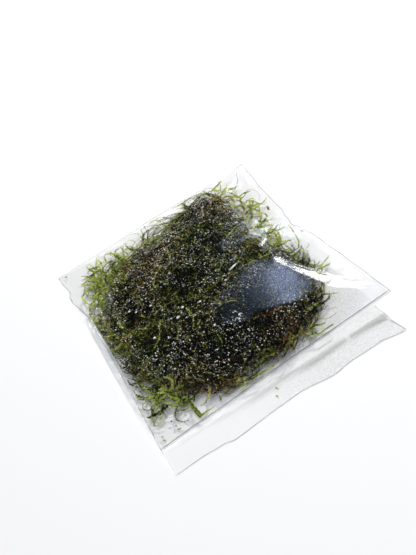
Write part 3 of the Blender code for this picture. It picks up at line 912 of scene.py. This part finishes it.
def java_moss_leaf():
    """Wet moss leaf, one cell thick: a soft shine on top, and a glow where light comes through."""
    material, tree, output = new_material("wet java moss leaf")
    # Each point's tone holds its own random tone, with painted light at the mat's edge and painted
    # shade deep in the mat and in its shaded spots.
    tone = add_node(tree, "ShaderNodeAttribute", {"attribute_name": "tone"}).outputs["Fac"]
    rust = add_node(tree, "ShaderNodeAttribute", {"attribute_name": "rust"}).outputs["Fac"]
    blend = add_node(tree, "ShaderNodeMix", {"data_type": "RGBA"},
                     {0: rust, 6: tone_ramp(tree, LEAF_TONES, tone),
                      7: tone_ramp(tree, RUST_TONES, tone)})
    leaf = blend.outputs[2]
    where = add_node(tree, "ShaderNodeTexCoord")
    cells = add_node(tree, "ShaderNodeTexNoise", {"Scale": 1 / (CELL_SIZE * MM), "Detail": 2.0},
                     {"Vector": where.outputs["Object"]})
    bump = add_node(tree, "ShaderNodeBump", {"Strength": 1.0, "Distance": CELL_HEIGHT * MM},
                    {"Height": cells.outputs["Fac"]})
    face = add_node(tree, "ShaderNodeBsdfPrincipled",
                    {"Roughness": LEAF_ROUGHNESS, "Specular IOR Level": LEAF_SHINE,
                     "Coat Weight": WET_COAT, "Coat Roughness": WET_ROUGHNESS},
                    {"Base Color": leaf, "Normal": bump.outputs["Normal"]})
    through = add_node(tree, "ShaderNodeBsdfTranslucent", {}, {"Color": leaf})
    mix = add_node(tree, "ShaderNodeMixShader", {0: LEAF_GLOW},
                   {1: face.outputs["BSDF"], 2: through.outputs["BSDF"]})
    tree.links.new(mix.outputs["Shader"], output.inputs["Surface"])
    return material


moss_leaf = java_moss_leaf()
grown_shoots = {kind: [grow_shoot(kind, 11 * number + k) for k in range(2)]
                for number, kind in enumerate(SHOOT_KINDS)}


def plant(rng, lines, kinds, tones, rust, widths=(0.5, 1.0)):
    """Bends a shoot of a random kind along each line.

    Returns all points and triangles, with each point's tone and rust.
    """
    names = list(kinds)
    chances = np.array([kinds[name] for name in names], float)
    picked = rng.choice(len(names), len(lines), p=chances / chances.sum())
    variant = rng.integers(0, 2, len(lines))
    twist = np.radians(rng.normal(0, TWIST, len(lines)))
    ups = film_up(lines[..., 0], lines[..., 1])
    ahead = np.gradient(lines, axis=1)
    ahead /= np.linalg.norm(ahead, axis=2, keepdims=True)
    aside = np.cross(ups, ahead)
    turn = twist[:, None, None] * np.linspace(0.6, 1.4, lines.shape[1])[None, :, None]
    ups = ups * np.cos(turn) + aside * np.sin(turn)
    widths = rng.uniform(*widths, len(lines))
    groups, triangles, shades, browns = [], [], [], []
    count = 0
    for number, name in enumerate(names):
        for k in range(2):
            chosen = np.flatnonzero((picked == number) & (variant == k))
            if not len(chosen):
                continue
            rest, faces, flecks = grown_shoots[name][k]
            bent = bend(rest, lines[chosen], ups[chosen], widths[chosen])
            points, numbered = join_copies(bent, faces)
            share = np.clip(rest[:, 0], 0, 1)
            dapple = DAPPLE * ripple(bent[..., 0], bent[..., 1], DAPPLE_SIZE, 5.5)
            tone = tones[chosen][:, None] + END_LIGHT * share[None] ** 2 + flecks[None] + dapple
            groups.append(points)
            triangles.append(numbered + count)
            shades.append(np.clip(tone, 0, 1).ravel())
            browns.append(np.repeat(rust[chosen], len(rest)))
            count += len(points)
    return tuple(np.concatenate(rows) for rows in (groups, triangles, shades, browns))


# Layers of the mat, from the floor up: seed, shoots, lowest and highest level, inset, stray, tone,
# and how much paler the palest shoots are. Above the face's level they show under the upper film.
# The wider, paler spread of the upper layers and the darker deep ones are painted light and shade
# through the mat's depth.
LAYERS = {
    "moss_lower": (21, 900, 0.02, 0.25, 2.0, 1.0, 0.04, 0.05),
    "moss_heart": (22, 1100, 0.25, 0.65, 2.5, 0.5, 0.00, 0.02),
    "moss_face_a": (23, 1200, 0.55, 0.85, 1.0, 0.8, 0.00, 0.07),
    "moss_face_b": (24, 1250, 0.70, 0.95, 0.8, 1.2, 0.00, 0.16),
    "moss_face_c": (25, 1250, 0.80, 1.00, 0.6, 1.6, 0.00, 0.22),
}
FACE_LEVEL = 0.8
LAYER_KINDS = {"frond": 2.0, "young": 1.2, "long": 1.2, "ragged": 1.6, "bare": 0.6}
DARK_KINDS = {"ragged": 2.0, "bare": 0.4}

face_points = []


def creep(rng, x, y, headings, lengths, reach, lowest, highest, turn=TURN_BACK, curl=CURL):
    """Lines of shoots that creep from their roots and rise or sink a little between two levels."""
    xs, ys = wander(rng, x, y, headings, lengths, reach, turn, curl)
    xs, ys = keep_in_bag(xs, ys)
    first = rng.uniform(lowest, highest, len(x))
    last = np.clip(first + rng.normal(0, 0.15, len(x)), lowest, highest)
    share = ease(np.linspace(0, 1, SHOOT_STEPS + 1))[None]
    levels = first[:, None] * (1 - share) + last[:, None] * share
    return np.stack([xs, ys, lift(xs, ys, levels)], axis=2)


def make_layer(name, seed, count, lowest, highest, inset, stray, tone, spread):
    """Plants one layer of the mat's shoots as a single joined mesh."""
    rng = np.random.default_rng(seed)
    x, y = scatter(rng, count, inset)
    lengths = rng.uniform(*SHOOT_LENGTHS, count)
    reach = rng.exponential(stray, count) - 0.6 + HAIRY_STRAY * (rng.random(count) < HAIRY_SHARE)
    lines = creep(rng, x, y, rng.uniform(0, 2 * math.pi, count), lengths, reach, lowest, highest)
    kept = rng.random(count) > THIN_SHARE * thinness(lines[..., 0], lines[..., 1]).max(1)
    lines = lines[kept]
    count = len(lines)
    x, y = lines[:, 0, 0], lines[:, 0, 1]
    far, edge = mat_reach(lines[:, -1, 0], lines[:, -1, 1])
    angles = np.degrees(np.arctan2(y - mat_middle[1], x - mat_middle[0]))
    # Painted light: shoots near the mat's edge and in thin places are given a paler tone.
    painted_edge_light = along(PAINTED_EDGE_LIGHT, angles) * ease((far - edge + PAINTED_LIGHT_START) / PAINTED_LIGHT_LENGTH)
    painted_edge_light = painted_edge_light + THIN_PAINTED_LIGHT * thinness(x, y)
    # Painted shade: shoots in the shaded spots get a darker, more even tone.
    dark = painted_shade(lines[:, SHOOT_STEPS // 2, 0], lines[:, SHOOT_STEPS // 2, 1])
    rust = np.clip(rust_at(x, y) + rng.normal(0, RUST_SCATTER, count), 0, 0.95)
    tones = tone + spread * rng.exponential(1.0, count) * (1 - PAINTED_SHADE_EVEN * dark) - PAINTED_SHADE_DEPTH * dark
    tones = np.clip(tones + painted_edge_light + RUST_LIFT * rust, *TONE_RANGE)
    kinds = DARK_KINDS if highest < FACE_LEVEL else LAYER_KINDS
    points, triangles, shades, browns = plant(rng, lines, kinds, tones, rust)
    points = between_films(points)
    if highest > FACE_LEVEL:
        face_points.append(points)
    mesh = join_mesh(name, points, triangles, tone=shades, rust=browns)
    place_piece(name, mesh, moss_leaf, ["moss_mat"])


for name, settings in LAYERS.items():
    make_layer(name, *settings)

# The fringe. Pale young shoots reach out of the mat's edge between the films, single or in tufts. They
# grow on the mat's own stems: middle of each tuft, its radius and how many.
FRINGES = [(44, 42, 6, 18), (44, 34, 5, 10), (43, 25, 5, 11), (41, 15, 5, 9), (41, 5, 5, 12),
           (39, 58, 6, 14), (-45, 44, 6, 26), (-50, 34, 5, 16), (-42, 53, 5, 16), (-22, 55, 7, 14),
           (-8, 46, 5, 10), (-55, 22, 4, 8), (-56, 4, 4, 6), (-51, -30, 5, 12), (-48, -37, 5, 16),
           (-40, -45, 4, 12), (-10, -50, 7, 8), (20, -46, 7, 6), (44, -12, 4, 6), (5, 60, 7, 8),
           (44, -24, 4, 5), (-32, 52, 6, 14), (-15, 48, 5, 10), (22, 63, 6, 10), (-38, 47, 5, 10)]
FRINGE_KINDS = {"plump": 2.4, "frond": 0.8, "young": 0.6, "bare": 0.5}
FRINGE_LENGTHS = (6.0, 12.0)
FRINGE_WIDTHS = (0.75, 1.2)
FRINGE_LEVELS = (0.25, 0.95)
# How far they stray and how deep they root, how they fan out in radians, and how they turn and curl
FRINGE_REACH = 5.5
FRINGE_ROOT = 3.0
FRINGE_FAN = 1.25
FRINGE_TURN = 0.09
FRINGE_CURL = 0.13
FRINGE_TONE = 0.80
FRINGE_SPREAD = 0.14
FRINGE_RUSTY = 0.25
# The front left corner, where the shoots are longer and more curled, and painted darker as painted
# shade: middle and radius, and how much longer, more curled and darker they are
FRONT_CORNER = (-46, -38)
FRONT_REACH = 14.0
FRONT_LENGTH = 3.0
FRONT_CURL = 0.13
FRONT_PAINTED_SHADE = 0.30


def make_fringe():
    """Plants the pale shoots that reach out over the mat's edge."""
    rng = np.random.default_rng(47)
    spots = np.array([fringe[:3] for fringe in FRINGES for _ in range(fringe[3])], float)
    count = len(spots)
    turn = rng.uniform(0, 2 * math.pi, count)
    away = spots[:, 2] * np.sqrt(rng.random(count))
    x, y = spots[:, 0] + away * np.cos(turn), spots[:, 1] + away * np.sin(turn)
    outward = np.arctan2(y - mat_middle[1], x - mat_middle[0])
    x, y = x - FRINGE_ROOT * np.cos(outward), y - FRINGE_ROOT * np.sin(outward)
    front = ease(1.6 - np.hypot(x - FRONT_CORNER[0], y - FRONT_CORNER[1]) / FRONT_REACH)
    headings = outward + rng.uniform(-FRINGE_FAN, FRINGE_FAN, count)
    lengths = rng.uniform(*FRINGE_LENGTHS, count) + FRONT_LENGTH * front
    lines = creep(rng, x, y, headings, lengths, FRINGE_REACH * rng.random(count), *FRINGE_LEVELS,
                  FRINGE_TURN, FRINGE_CURL + FRONT_CURL * front)
    # Painted shade: the front corner's shoots are given a darker tone.
    tones = rng.normal(FRINGE_TONE, FRINGE_SPREAD, count) - FRONT_PAINTED_SHADE * front
    tones = np.clip(tones, 0.1, 0.85)
    rust = np.where(rng.random(count) < FRINGE_RUSTY, 0.6, 0.08) * rng.random(count)
    points, triangles, shades, browns = plant(rng, lines, FRINGE_KINDS, tones, rust, FRINGE_WIDTHS)
    mesh = join_mesh("moss_fringe", between_films(points), triangles, tone=shades, rust=browns)
    place_piece("moss_fringe", mesh, moss_leaf, ["moss_mat"])


make_fringe()

# The bubbles. Air bubbles and water drops hang under the upper film and cling to the uppermost leaves,
# where the bag was pressed flat on wet moss. They are round or a little flattened, and painted near
# white as painted glints of the light on them.
BUBBLES = 5600
BUBBLE_SIZES = (0.16, 0.44)
# How rare the large ones are, how the ball is stretched each way, and how far it stands off its leaf
BUBBLE_MIX = 5.0
BUBBLE_STRETCH = ((0.8, 1.4), (0.7, 1.1), (0.6, 0.9))
BUBBLE_RISE = 0.7
# The places to choose from, how far apart they are, how near the film they must be, and how large the
# crowded patches are
LEAVES_PER_BUBBLE = 40
BUBBLE_SPACE = 0.64
BUBBLE_ROOM = 1.2
BUBBLE_PATCH = 9.0
# Where the film stands clear of the moss, so few bubbles cling: middle and radius
BUBBLE_FREE = [(30, -24, 10), (20, -22, 11), (6, -24, 9)]
BUBBLE_FEW = 0.08
BUBBLE_GLINT_TONE = "#FBFCFA"
BUBBLE_ROUGHNESS = 0.18
BUBBLE_COAT = 0.6
BUBBLE_COAT_ROUGHNESS = 0.06
BUBBLE_CLEAR = 0.05
# Larger flat bubbles: how far under the film and how thick, then place, half the length and half the
# width, and the turn in degrees
POCKET_DROP = 0.3
POCKET_HEIGHT = 0.25
# The first, long pocket stands for a streak of glint on the film: a white pocket painted as that
# highlight.
POCKETS = [(12.6, -0.2, 3.5, 0.62, 19), (-18.6, -5.2, 0.9, 0.8, 0), (-23.1, -8.6, 1.0, 0.8, 40),
           (-4.0, 45.9, 1.3, 0.8, 20), (-36.9, -10.6, 0.9, 0.7, 0), (-49.9, 30.1, 1.0, 0.7, 60),
           (-51.6, 26.8, 0.8, 0.7, 0), (-50.6, 21.9, 0.8, 0.6, 90), (-10.6, -8.0, 0.8, 0.6, 10),
           (-12.3, -23.6, 0.8, 0.6, 50), (-39.6, 10.4, 0.7, 0.6, 0), (-37.1, 7.6, 0.7, 0.6, 0),
           (-0.4, -25.4, 0.8, 0.6, 30), (-30.0, 5.9, 0.7, 0.6, 0), (5.4, -5.0, 0.8, 0.6, 0),
           (-1.7, -27.3, 0.7, 0.6, 0)]


def air_bubble():
    """A bubble or drop: wet and a little see-through, painted near white as a painted glint."""
    material, tree, output = new_material("air bubble under the film painted white as glint")
    shader = add_node(tree, "ShaderNodeBsdfPrincipled",
                      {"Base Color": colour(BUBBLE_GLINT_TONE), "Roughness": BUBBLE_ROUGHNESS,
                       "Coat Weight": BUBBLE_COAT, "Coat Roughness": BUBBLE_COAT_ROUGHNESS})
    clear = add_node(tree, "ShaderNodeBsdfTransparent", {"Color": colour("#FFFFFF")})
    mix = add_node(tree, "ShaderNodeMixShader", {0: BUBBLE_CLEAR},
                   {1: shader.outputs["BSDF"], 2: clear.outputs["BSDF"]})
    tree.links.new(mix.outputs["Shader"], output.inputs["Surface"])
    return material


def make_bubbles():
    """Scatters bubbles on the uppermost leaves, thick in some patches, and adds the larger ones."""
    rng = np.random.default_rng(61)
    bm = bmesh.new()
    bmesh.ops.create_icosphere(bm, subdivisions=1, radius=1.0)
    ball, triangles = take_shape(bm)
    leaves = np.concatenate(face_points)
    leaves = leaves[rng.permutation(len(leaves))[:BUBBLES * LEAVES_PER_BUBBLE]]
    cells = np.floor(leaves[:, :2] / BUBBLE_SPACE).astype(int)
    leaves = leaves[np.unique(cells, axis=0, return_index=True)[1]]
    room = film_height(film_high, leaves[:, 0], leaves[:, 1]) - leaves[:, 2]
    patch = ripple(leaves[:, 0], leaves[:, 1], BUBBLE_PATCH, 3.3)
    far, edge = mat_reach(leaves[:, 0], leaves[:, 1])
    chance = np.exp(-room / BUBBLE_ROOM) * ease(0.80 + 0.9 * patch) * ease((edge - far) / 7 + 0.2)
    for x, y, radius in BUBBLE_FREE:
        away = np.hypot(leaves[:, 0] - x, leaves[:, 1] - y)
        chance *= BUBBLE_FEW + (1 - BUBBLE_FEW) * ease(away / radius - 0.4)
    picked = np.argsort(rng.random(len(leaves)) ** (1 / np.maximum(chance, 1e-6)))[-BUBBLES:]
    centres = leaves[picked]
    smallest, largest = BUBBLE_SIZES
    sizes = smallest + (largest - smallest) * rng.random(BUBBLES) ** BUBBLE_MIX
    stretch = np.stack([rng.uniform(*limits, BUBBLES) for limits in BUBBLE_STRETCH], axis=1)
    turn = rng.uniform(0, math.pi, BUBBLES)
    form = ball[None] * (stretch * sizes[:, None])[:, None]
    x = form[..., 0] * np.cos(turn)[:, None] - form[..., 1] * np.sin(turn)[:, None]
    y = form[..., 0] * np.sin(turn)[:, None] + form[..., 1] * np.cos(turn)[:, None]
    z = form[..., 2] + centres[:, 2:] + (sizes * BUBBLE_RISE)[:, None]
    points = np.stack([x + centres[:, :1], y + centres[:, 1:2], z], axis=2)
    pockets = []
    for x, y, half_length, half_width, angle in POCKETS:
        cos, sin = math.cos(math.radians(angle)), math.sin(math.radians(angle))
        along_it, aside = ball[:, 0] * half_length, ball[:, 1] * half_width
        pocket_x = x + along_it * cos - aside * sin
        pocket_y = y + along_it * sin + aside * cos
        roof = film_height(film_high, pocket_x, pocket_y) - FILM - POCKET_DROP
        pockets.append(np.stack([pocket_x, pocket_y, roof + POCKET_HEIGHT * ball[:, 2]], axis=1))
    points = np.concatenate([points, np.array(pockets)])
    joined, numbered = join_copies(points, triangles)
    mesh = join_mesh("moss_bubbles", between_films(joined), numbered, smooth=True)
    place_piece("moss_bubbles", mesh, air_bubble(), ["moss_mat"])


make_bubbles()

# The loose shoots. Single green shoots stand clear of the mat between the films. They are younger
# and paler than the mat, and hang on to it only by their lower ends.
RINGS = 6
LOOSE_STEPS = 12
LOOSE_KINDS = ["plump", "young", "plump", "long"]
# How wide a shoot is on a solid of the usual radius, and its tone, from root to end
LOOSE_WIDTH = 0.72
LOOSE_RADIUS = 0.55
LOOSE_TONE = 0.68
LOOSE_SPREAD = 0.06
LOOSE_END = 0.1
LOOSE_RUST = 0.04


def centre_line(node):
    """The line through a slim round solid of the frame, root first, and its radius at each point.

    The solid is a tube of RINGS rings of points, so the widest gaps along it part the rings.
    """
    points = corners(node)
    axis = np.linalg.svd(points - points.mean(0), full_matrices=False)[2][0]
    points = points[np.argsort(points @ axis)]
    gaps = np.argsort(np.diff(points @ axis))[-(RINGS - 1):]
    rings = np.split(points, np.sort(gaps) + 1)
    line = np.array([ring.mean(0) for ring in rings])
    radii = np.array([np.linalg.norm(ring - ring.mean(0), axis=1).mean() for ring in rings])
    return (line, radii) if radii[0] > radii[-1] else (line[::-1], radii[::-1])


def smooth_line(points, count):
    """Places along the smooth curve through a few points."""
    knots = np.concatenate([[2 * points[0] - points[1]], points, [2 * points[-1] - points[-2]]])
    place = np.linspace(0, len(points) - 1, count)
    k = np.minimum(place.astype(int), len(points) - 2)
    t = (place - k)[:, None]
    a, b, c, d = (knots[k + shift] for shift in range(4))
    return 0.5 * (2 * b + (c - a) * t + (2 * a - 5 * b + 4 * c - d) * t ** 2
                  + (3 * b - a - 3 * c + d) * t ** 3)


def make_loose_shoots():
    """Bends a leafy shoot along each of the frame's single shoots."""
    nodes = sorted(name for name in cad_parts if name.startswith("moss_shoot"))
    for number, node in enumerate(nodes):
        rng = np.random.default_rng(100 + number)
        line, radii = centre_line(node)
        line = smooth_line(line, LOOSE_STEPS)[None]
        kind = LOOSE_KINDS[number % len(LOOSE_KINDS)]
        rest, faces, flecks = grown_shoots[kind][number % 2]
        ups = film_up(line[..., 0], line[..., 1])
        bent = bend(rest, line, ups, [LOOSE_WIDTH * radii.max() / LOOSE_RADIUS])
        tone = LOOSE_TONE + rng.normal(0, LOOSE_SPREAD) + flecks + LOOSE_END * rest[:, 0]
        tone = np.clip(tone, 0, 1)
        points, numbered = join_copies(bent, faces)
        mesh = join_mesh(node.replace("moss_shoot", "loose_shoot"), between_films(points), numbered,
                         tone=tone, rust=np.full(len(tone), LOOSE_RUST))
        place_piece(mesh.name, mesh, moss_leaf, [node])


make_loose_shoots()

# The stray stems. Dark old runners, thin brown threads, pale tips and grains of dirt lie loose beside
# the mat and on the flap. Each is a kind of shoot, a width, a tone, how brown it is and its level
# between the films, then its places.
STRAYS = [
    ("bare", 0.9, 0.10, 0.2, 0.4, [(-20.2, 55), (-14.6, 57.2), (-10, 57.4), (0.6, 60.2), (8.5, 61),
                                   (14.2, 59.4)]),
    ("ragged", 0.7, 0.30, 0.1, 0.4, [(-6.3, 63.8), (-7.0, 59.0), (-7.3, 55)]),
    ("bare", 0.8, 0.12, 0.2, 0.4, [(-49.7, 49.8), (-51.9, 44), (-52.5, 37)]),
    ("young", 0.8, 0.55, 0.1, 0.5, [(-48, 49.9), (-45, 45.8), (-45.3, 38.3)]),
    ("bare", 0.9, 0.10, 0.2, 0.3, [(-52.5, -8.8), (-55.4, -12), (-53.8, -13.9), (-52.7, -18.8),
                                   (-52.3, -25), (-53.5, -31.7)]),
    ("young", 0.6, 0.50, 0.1, 0.4, [(-53.5, -31.7), (-52.9, -34.5), (-55.1, -36.0), (-57.2, -34.2),
                                    (-56.4, -31.8), (-53.9, -32.0)]),
    ("young", 0.8, 0.45, 0.3, 0.4, [(-28.5, -51.2), (-28.0, -49.6), (-27.8, -48.3)]),
    ("frond", 0.8, 0.50, 0.1, 0.2, [(-26.6, -49.3), (-21, -48.8), (-15.4, -49.9), (-8.3, -49.9)]),
    ("young", 0.8, 0.50, 0.1, 0.5, [(44.3, -23.8), (43.4, -18.7), (43.4, -15.9)]),
    ("frond", 0.9, 0.62, 0.0, 0.6, [(43.3, 10.7), (42.4, 7.4), (41, 4.5)]),
    ("bare", 0.7, 0.25, 0.8, 0.8, [(41, 12.2), (39.1, 10), (35.4, 9), (32.2, 8)]),
    ("bare", 0.6, 0.16, 0.2, 0.4, [(51.9, 47.3), (54.6, 43.5), (53.9, 39.2), (51.1, 35.7)]),
    ("frond", 0.9, 0.60, 0.0, 0.5, [(47.8, 40), (46.4, 37.6), (45.7, 34.9)]),
    ("bare", 0.6, 0.14, 0.3, 0.4, [(43.3, 54.9), (47, 53.6), (49.5, 54.9)]),
    ("young", 0.8, 0.35, 0.5, 0.7, [(14.1, -47), (9.6, -44.6), (3.2, -45)]),
    ("bare", 0.8, 0.15, 0.4, 0.4, [(54.3, 62.6), (50.7, 55.6), (46.5, 52.6), (42.2, 50.1)]),
    ("bare", 0.8, 0.62, 1.0, 0.95, [(25.1, 4.1), (31, 6.0), (37.3, 6.7)]),
    ("plump", 1.3, 0.60, 0.9, 0.9, [(50.2, 25.6), (51.1, 26.8), (51.5, 28.6)]),
    ("young", 0.9, 0.80, 0.0, 0.98, [(-45.6, 9.8), (-46.5, 8.8), (-47.2, 7.5)]),
    ("young", 0.8, 0.80, 0.0, 0.98, [(-18.2, -18.6), (-17.4, -17.9), (-16.2, -17.6)]),
    ("young", 0.8, 0.78, 0.0, 0.98, [(-36.4, 4.2), (-35.5, 3.3), (-35.2, 2.0)]),
    ("young", 0.6, 0.70, 0.0, 0.3, [(-6.9, -59.2), (-6.5, -59.7), (-6.0, -60.6)]),
    ("young", 0.6, 0.70, 0.0, 0.3, [(-8.6, -62.0), (-8.3, -62.4), (-8.1, -63.2)]),
    ("young", 0.7, 0.68, 0.0, 0.3, [(-49.7, -50.2), (-49.1, -50.8), (-48.2, -50.7)]),
    ("young", 0.7, 0.68, 0.0, 0.3, [(-57.0, -50.4), (-56.5, -51.1), (-55.9, -51.2)]),
    ("bare", 2.2, 0.08, 0.6, 0.1, [(-49.8, -48.6), (-49.5, -48.4), (-49.0, -48.3)]),
    ("bare", 2.0, 0.08, 0.6, 0.1, [(-56.8, -49.3), (-56.6, -49.1), (-56.1, -49.0)]),
    ("bare", 1.8, 0.08, 0.6, 0.1, [(-50.4, -45.8), (-50.2, -45.5), (-49.8, -45.4)]),
    ("bare", 1.8, 0.08, 0.6, 0.1, [(-57.2, -42.9), (-57.0, -42.7), (-56.6, -42.5)]),
    ("bare", 2.0, 0.08, 0.6, 0.1, [(54.1, 2.0), (54.4, 2.3), (54.6, 2.9)]),
    ("bare", 2.2, 0.08, 0.6, 0.3, [(-56.5, 62.6), (-56.2, 62.9), (-55.6, 63.1)]),
]


def make_strays():
    """Lays the stray stems, joined into one mesh."""
    rng = np.random.default_rng(73)
    groups, numbers, shades, browns = [], [], [], []
    count = 0
    for kind, width, tone, brown, level, places in STRAYS:
        knots = np.array([(x, y, 0.0) for x, y in places], float)
        line = smooth_line(knots, LOOSE_STEPS + 1)
        line[:, 2] = lift(line[:, 0], line[:, 1], level)
        rest, faces, flecks = grown_shoots[kind][rng.integers(0, 2)]
        ups = film_up(line[None, :, 0], line[None, :, 1])
        points, numbered = join_copies(bend(rest, line[None], ups, [width]), faces)
        groups.append(points)
        numbers.append(numbered + count)
        shades.append(np.clip(tone + flecks + LOOSE_END * rest[:, 0], 0, 1))
        browns.append(np.full(len(rest), brown))
        count += len(points)
    mesh = join_mesh("stray_stems", between_films(np.concatenate(groups)), np.concatenate(numbers),
                     tone=np.concatenate(shades), rust=np.concatenate(browns))
    place_piece("stray_stems", mesh, moss_leaf, ["moss_mat"])


make_strays()

# The plain pale floor and the room's light: low sun through a window behind on the right and weak light
# from all round, which fall on the bag, and discs of window light and blue sky that only its shiny
# film mirrors.
FLOOR_COLOUR = "#F4F4F5"
FLOOR_ROUGHNESS = 0.8
FLOOR_SHINE = 0.1
FLOOR_SIZE = 4000.0
FLOOR_DROP = 0.05
LIGHT_DISTANCE = 1100.0
# Lamps that light the bag: name, direction, width, power and tint
LAMPS = [
    ("sun", (0.60, 0.46, 0.65), 60, 8.5, "#FFFCF4"),
    ("ceiling", (0.0, 0.0, 1.0), 1000, 9.8, "#F8FAFF"),
]
WINDOW_DIRECTION = (0.687, 0.53, 0.50)
SKY_DIRECTION = (0.440, 0.470, 0.765)
SKY_TINT = "#B6C8EC"
# Discs that the taut film mirrors, each a step of a soft glow: direction, width, brightness and tint
SKY_DISCS = [
    (SKY_DIRECTION, 110, 7.6, SKY_TINT), (SKY_DIRECTION, 170, 2.4, SKY_TINT),
    (SKY_DIRECTION, 250, 1.2, SKY_TINT), (SKY_DIRECTION, 400, 0.45, "#8FB0E8"),
    ((0.535, 0.505, 0.677), 200, 2.6, "#BFD0F2"), ((0.62, 0.52, 0.588), 180, 3.2, "#D2DEF6"),
    (WINDOW_DIRECTION, 90, 20.0, "#FFFFFF"), (WINDOW_DIRECTION, 160, 6.0, "#E4EBFA"),
    (WINDOW_DIRECTION, 220, 1.6, "#C4D2F2"),
]


def make_floor():
    """Lays the plain matt floor just under the bag."""
    bm = bmesh.new()
    bmesh.ops.create_grid(bm, x_segments=1, y_segments=1, size=FLOOR_SIZE / 2 * MM,
                          matrix=Matrix.Translation((0, 0, -FLOOR_DROP * MM)))
    mesh = bpy.data.meshes.new("floor")
    bm.to_mesh(mesh)
    bm.free()
    material, tree, output = new_material("plain matt floor")
    shader = add_node(tree, "ShaderNodeBsdfPrincipled",
                      {"Base Color": colour(FLOOR_COLOUR), "Roughness": FLOOR_ROUGHNESS,
                       "Specular IOR Level": FLOOR_SHINE})
    tree.links.new(shader.outputs["BSDF"], output.inputs["Surface"])
    mesh.materials.append(material)
    floor = bpy.data.objects.new("floor", mesh)
    bpy.context.scene.collection.objects.link(floor)


def make_light(name, direction, size, power, tint, seen):
    """A soft round light that faces the bag. It either lights the bag or is only mirrored in it."""
    lamp = bpy.data.lights.new(name, "AREA")
    lamp.shape = "DISK"
    lamp.size = size * MM
    lamp.energy = power
    lamp.color = colour(tint)[:3]
    light = bpy.data.objects.new(name, lamp)
    away = Vector(direction).normalized()
    light.matrix_world = (Matrix.Translation(away * LIGHT_DISTANCE * MM)
                          @ away.to_track_quat("Z", "Y").to_matrix().to_4x4())
    light.visible_diffuse = not seen
    light.visible_transmission = not seen
    light.visible_glossy = seen
    light.visible_camera = False
    bpy.context.scene.collection.objects.link(light)


make_floor()
for name, direction, size, power, tint in LAMPS:
    make_light(name, direction, size, power, tint, False)
for number, (direction, size, brightness, tint) in enumerate(SKY_DISCS):
    power = brightness * math.pi * math.pi * (size * MM / 2) ** 2
    make_light(f"sky_disc_{number + 1}", direction, size, power, tint, True)

# The room all round, which the film mirrors at a slant: height up its walls, then tone
ROOM_TONES = [(0.10, "#7C8084"), (0.35, "#3A3D40")]
ROOM_STRENGTH = 0.8
world = bpy.data.worlds.new("room")
world.use_nodes = True
bpy.context.scene.world = world
room = world.node_tree
room.nodes.clear()
room_output = add_node(room, "ShaderNodeOutputWorld")
outward = add_node(room, "ShaderNodeTexCoord")
split = add_node(room, "ShaderNodeSeparateXYZ", {}, {0: outward.outputs["Generated"]})
walls = tone_ramp(room, ROOM_TONES, split.outputs["Z"])
glow = add_node(room, "ShaderNodeBackground", {"Strength": ROOM_STRENGTH}, {"Color": walls})
room.links.new(glow.outputs["Background"], room_output.inputs["Surface"])

# The camera stands in front of the bag, a little to the left, and looks down on it with its top leaning
# to the left. Its place was fitted to the bag's corners in the photo.
CAMERA_TARGET = (2.795, 11.696, 0.0)
CAMERA_AZIMUTH = -17.163
CAMERA_ELEVATION = 48.679
CAMERA_ROLL = -18.8
CAMERA_DISTANCE = 288.684
LENS = 37.62

camera_data = bpy.data.cameras.new("camera")
camera_data.lens = LENS
camera_data.clip_start = 0.01
camera = bpy.data.objects.new("camera", camera_data)
turned = (Matrix.Rotation(math.radians(CAMERA_AZIMUTH), 4, "Z")
          @ Matrix.Rotation(math.radians(90 - CAMERA_ELEVATION), 4, "X")
          @ Matrix.Rotation(math.radians(CAMERA_ROLL), 4, "Z"))
back = turned.to_3x3() @ Vector((0, 0, 1))
camera.matrix_world = Matrix.Translation((Vector(CAMERA_TARGET) + back * CAMERA_DISTANCE) * MM) @ turned
bpy.context.scene.collection.objects.link(camera)
bpy.context.scene.camera = camera
bpy.context.scene.view_settings.view_transform = "Standard"
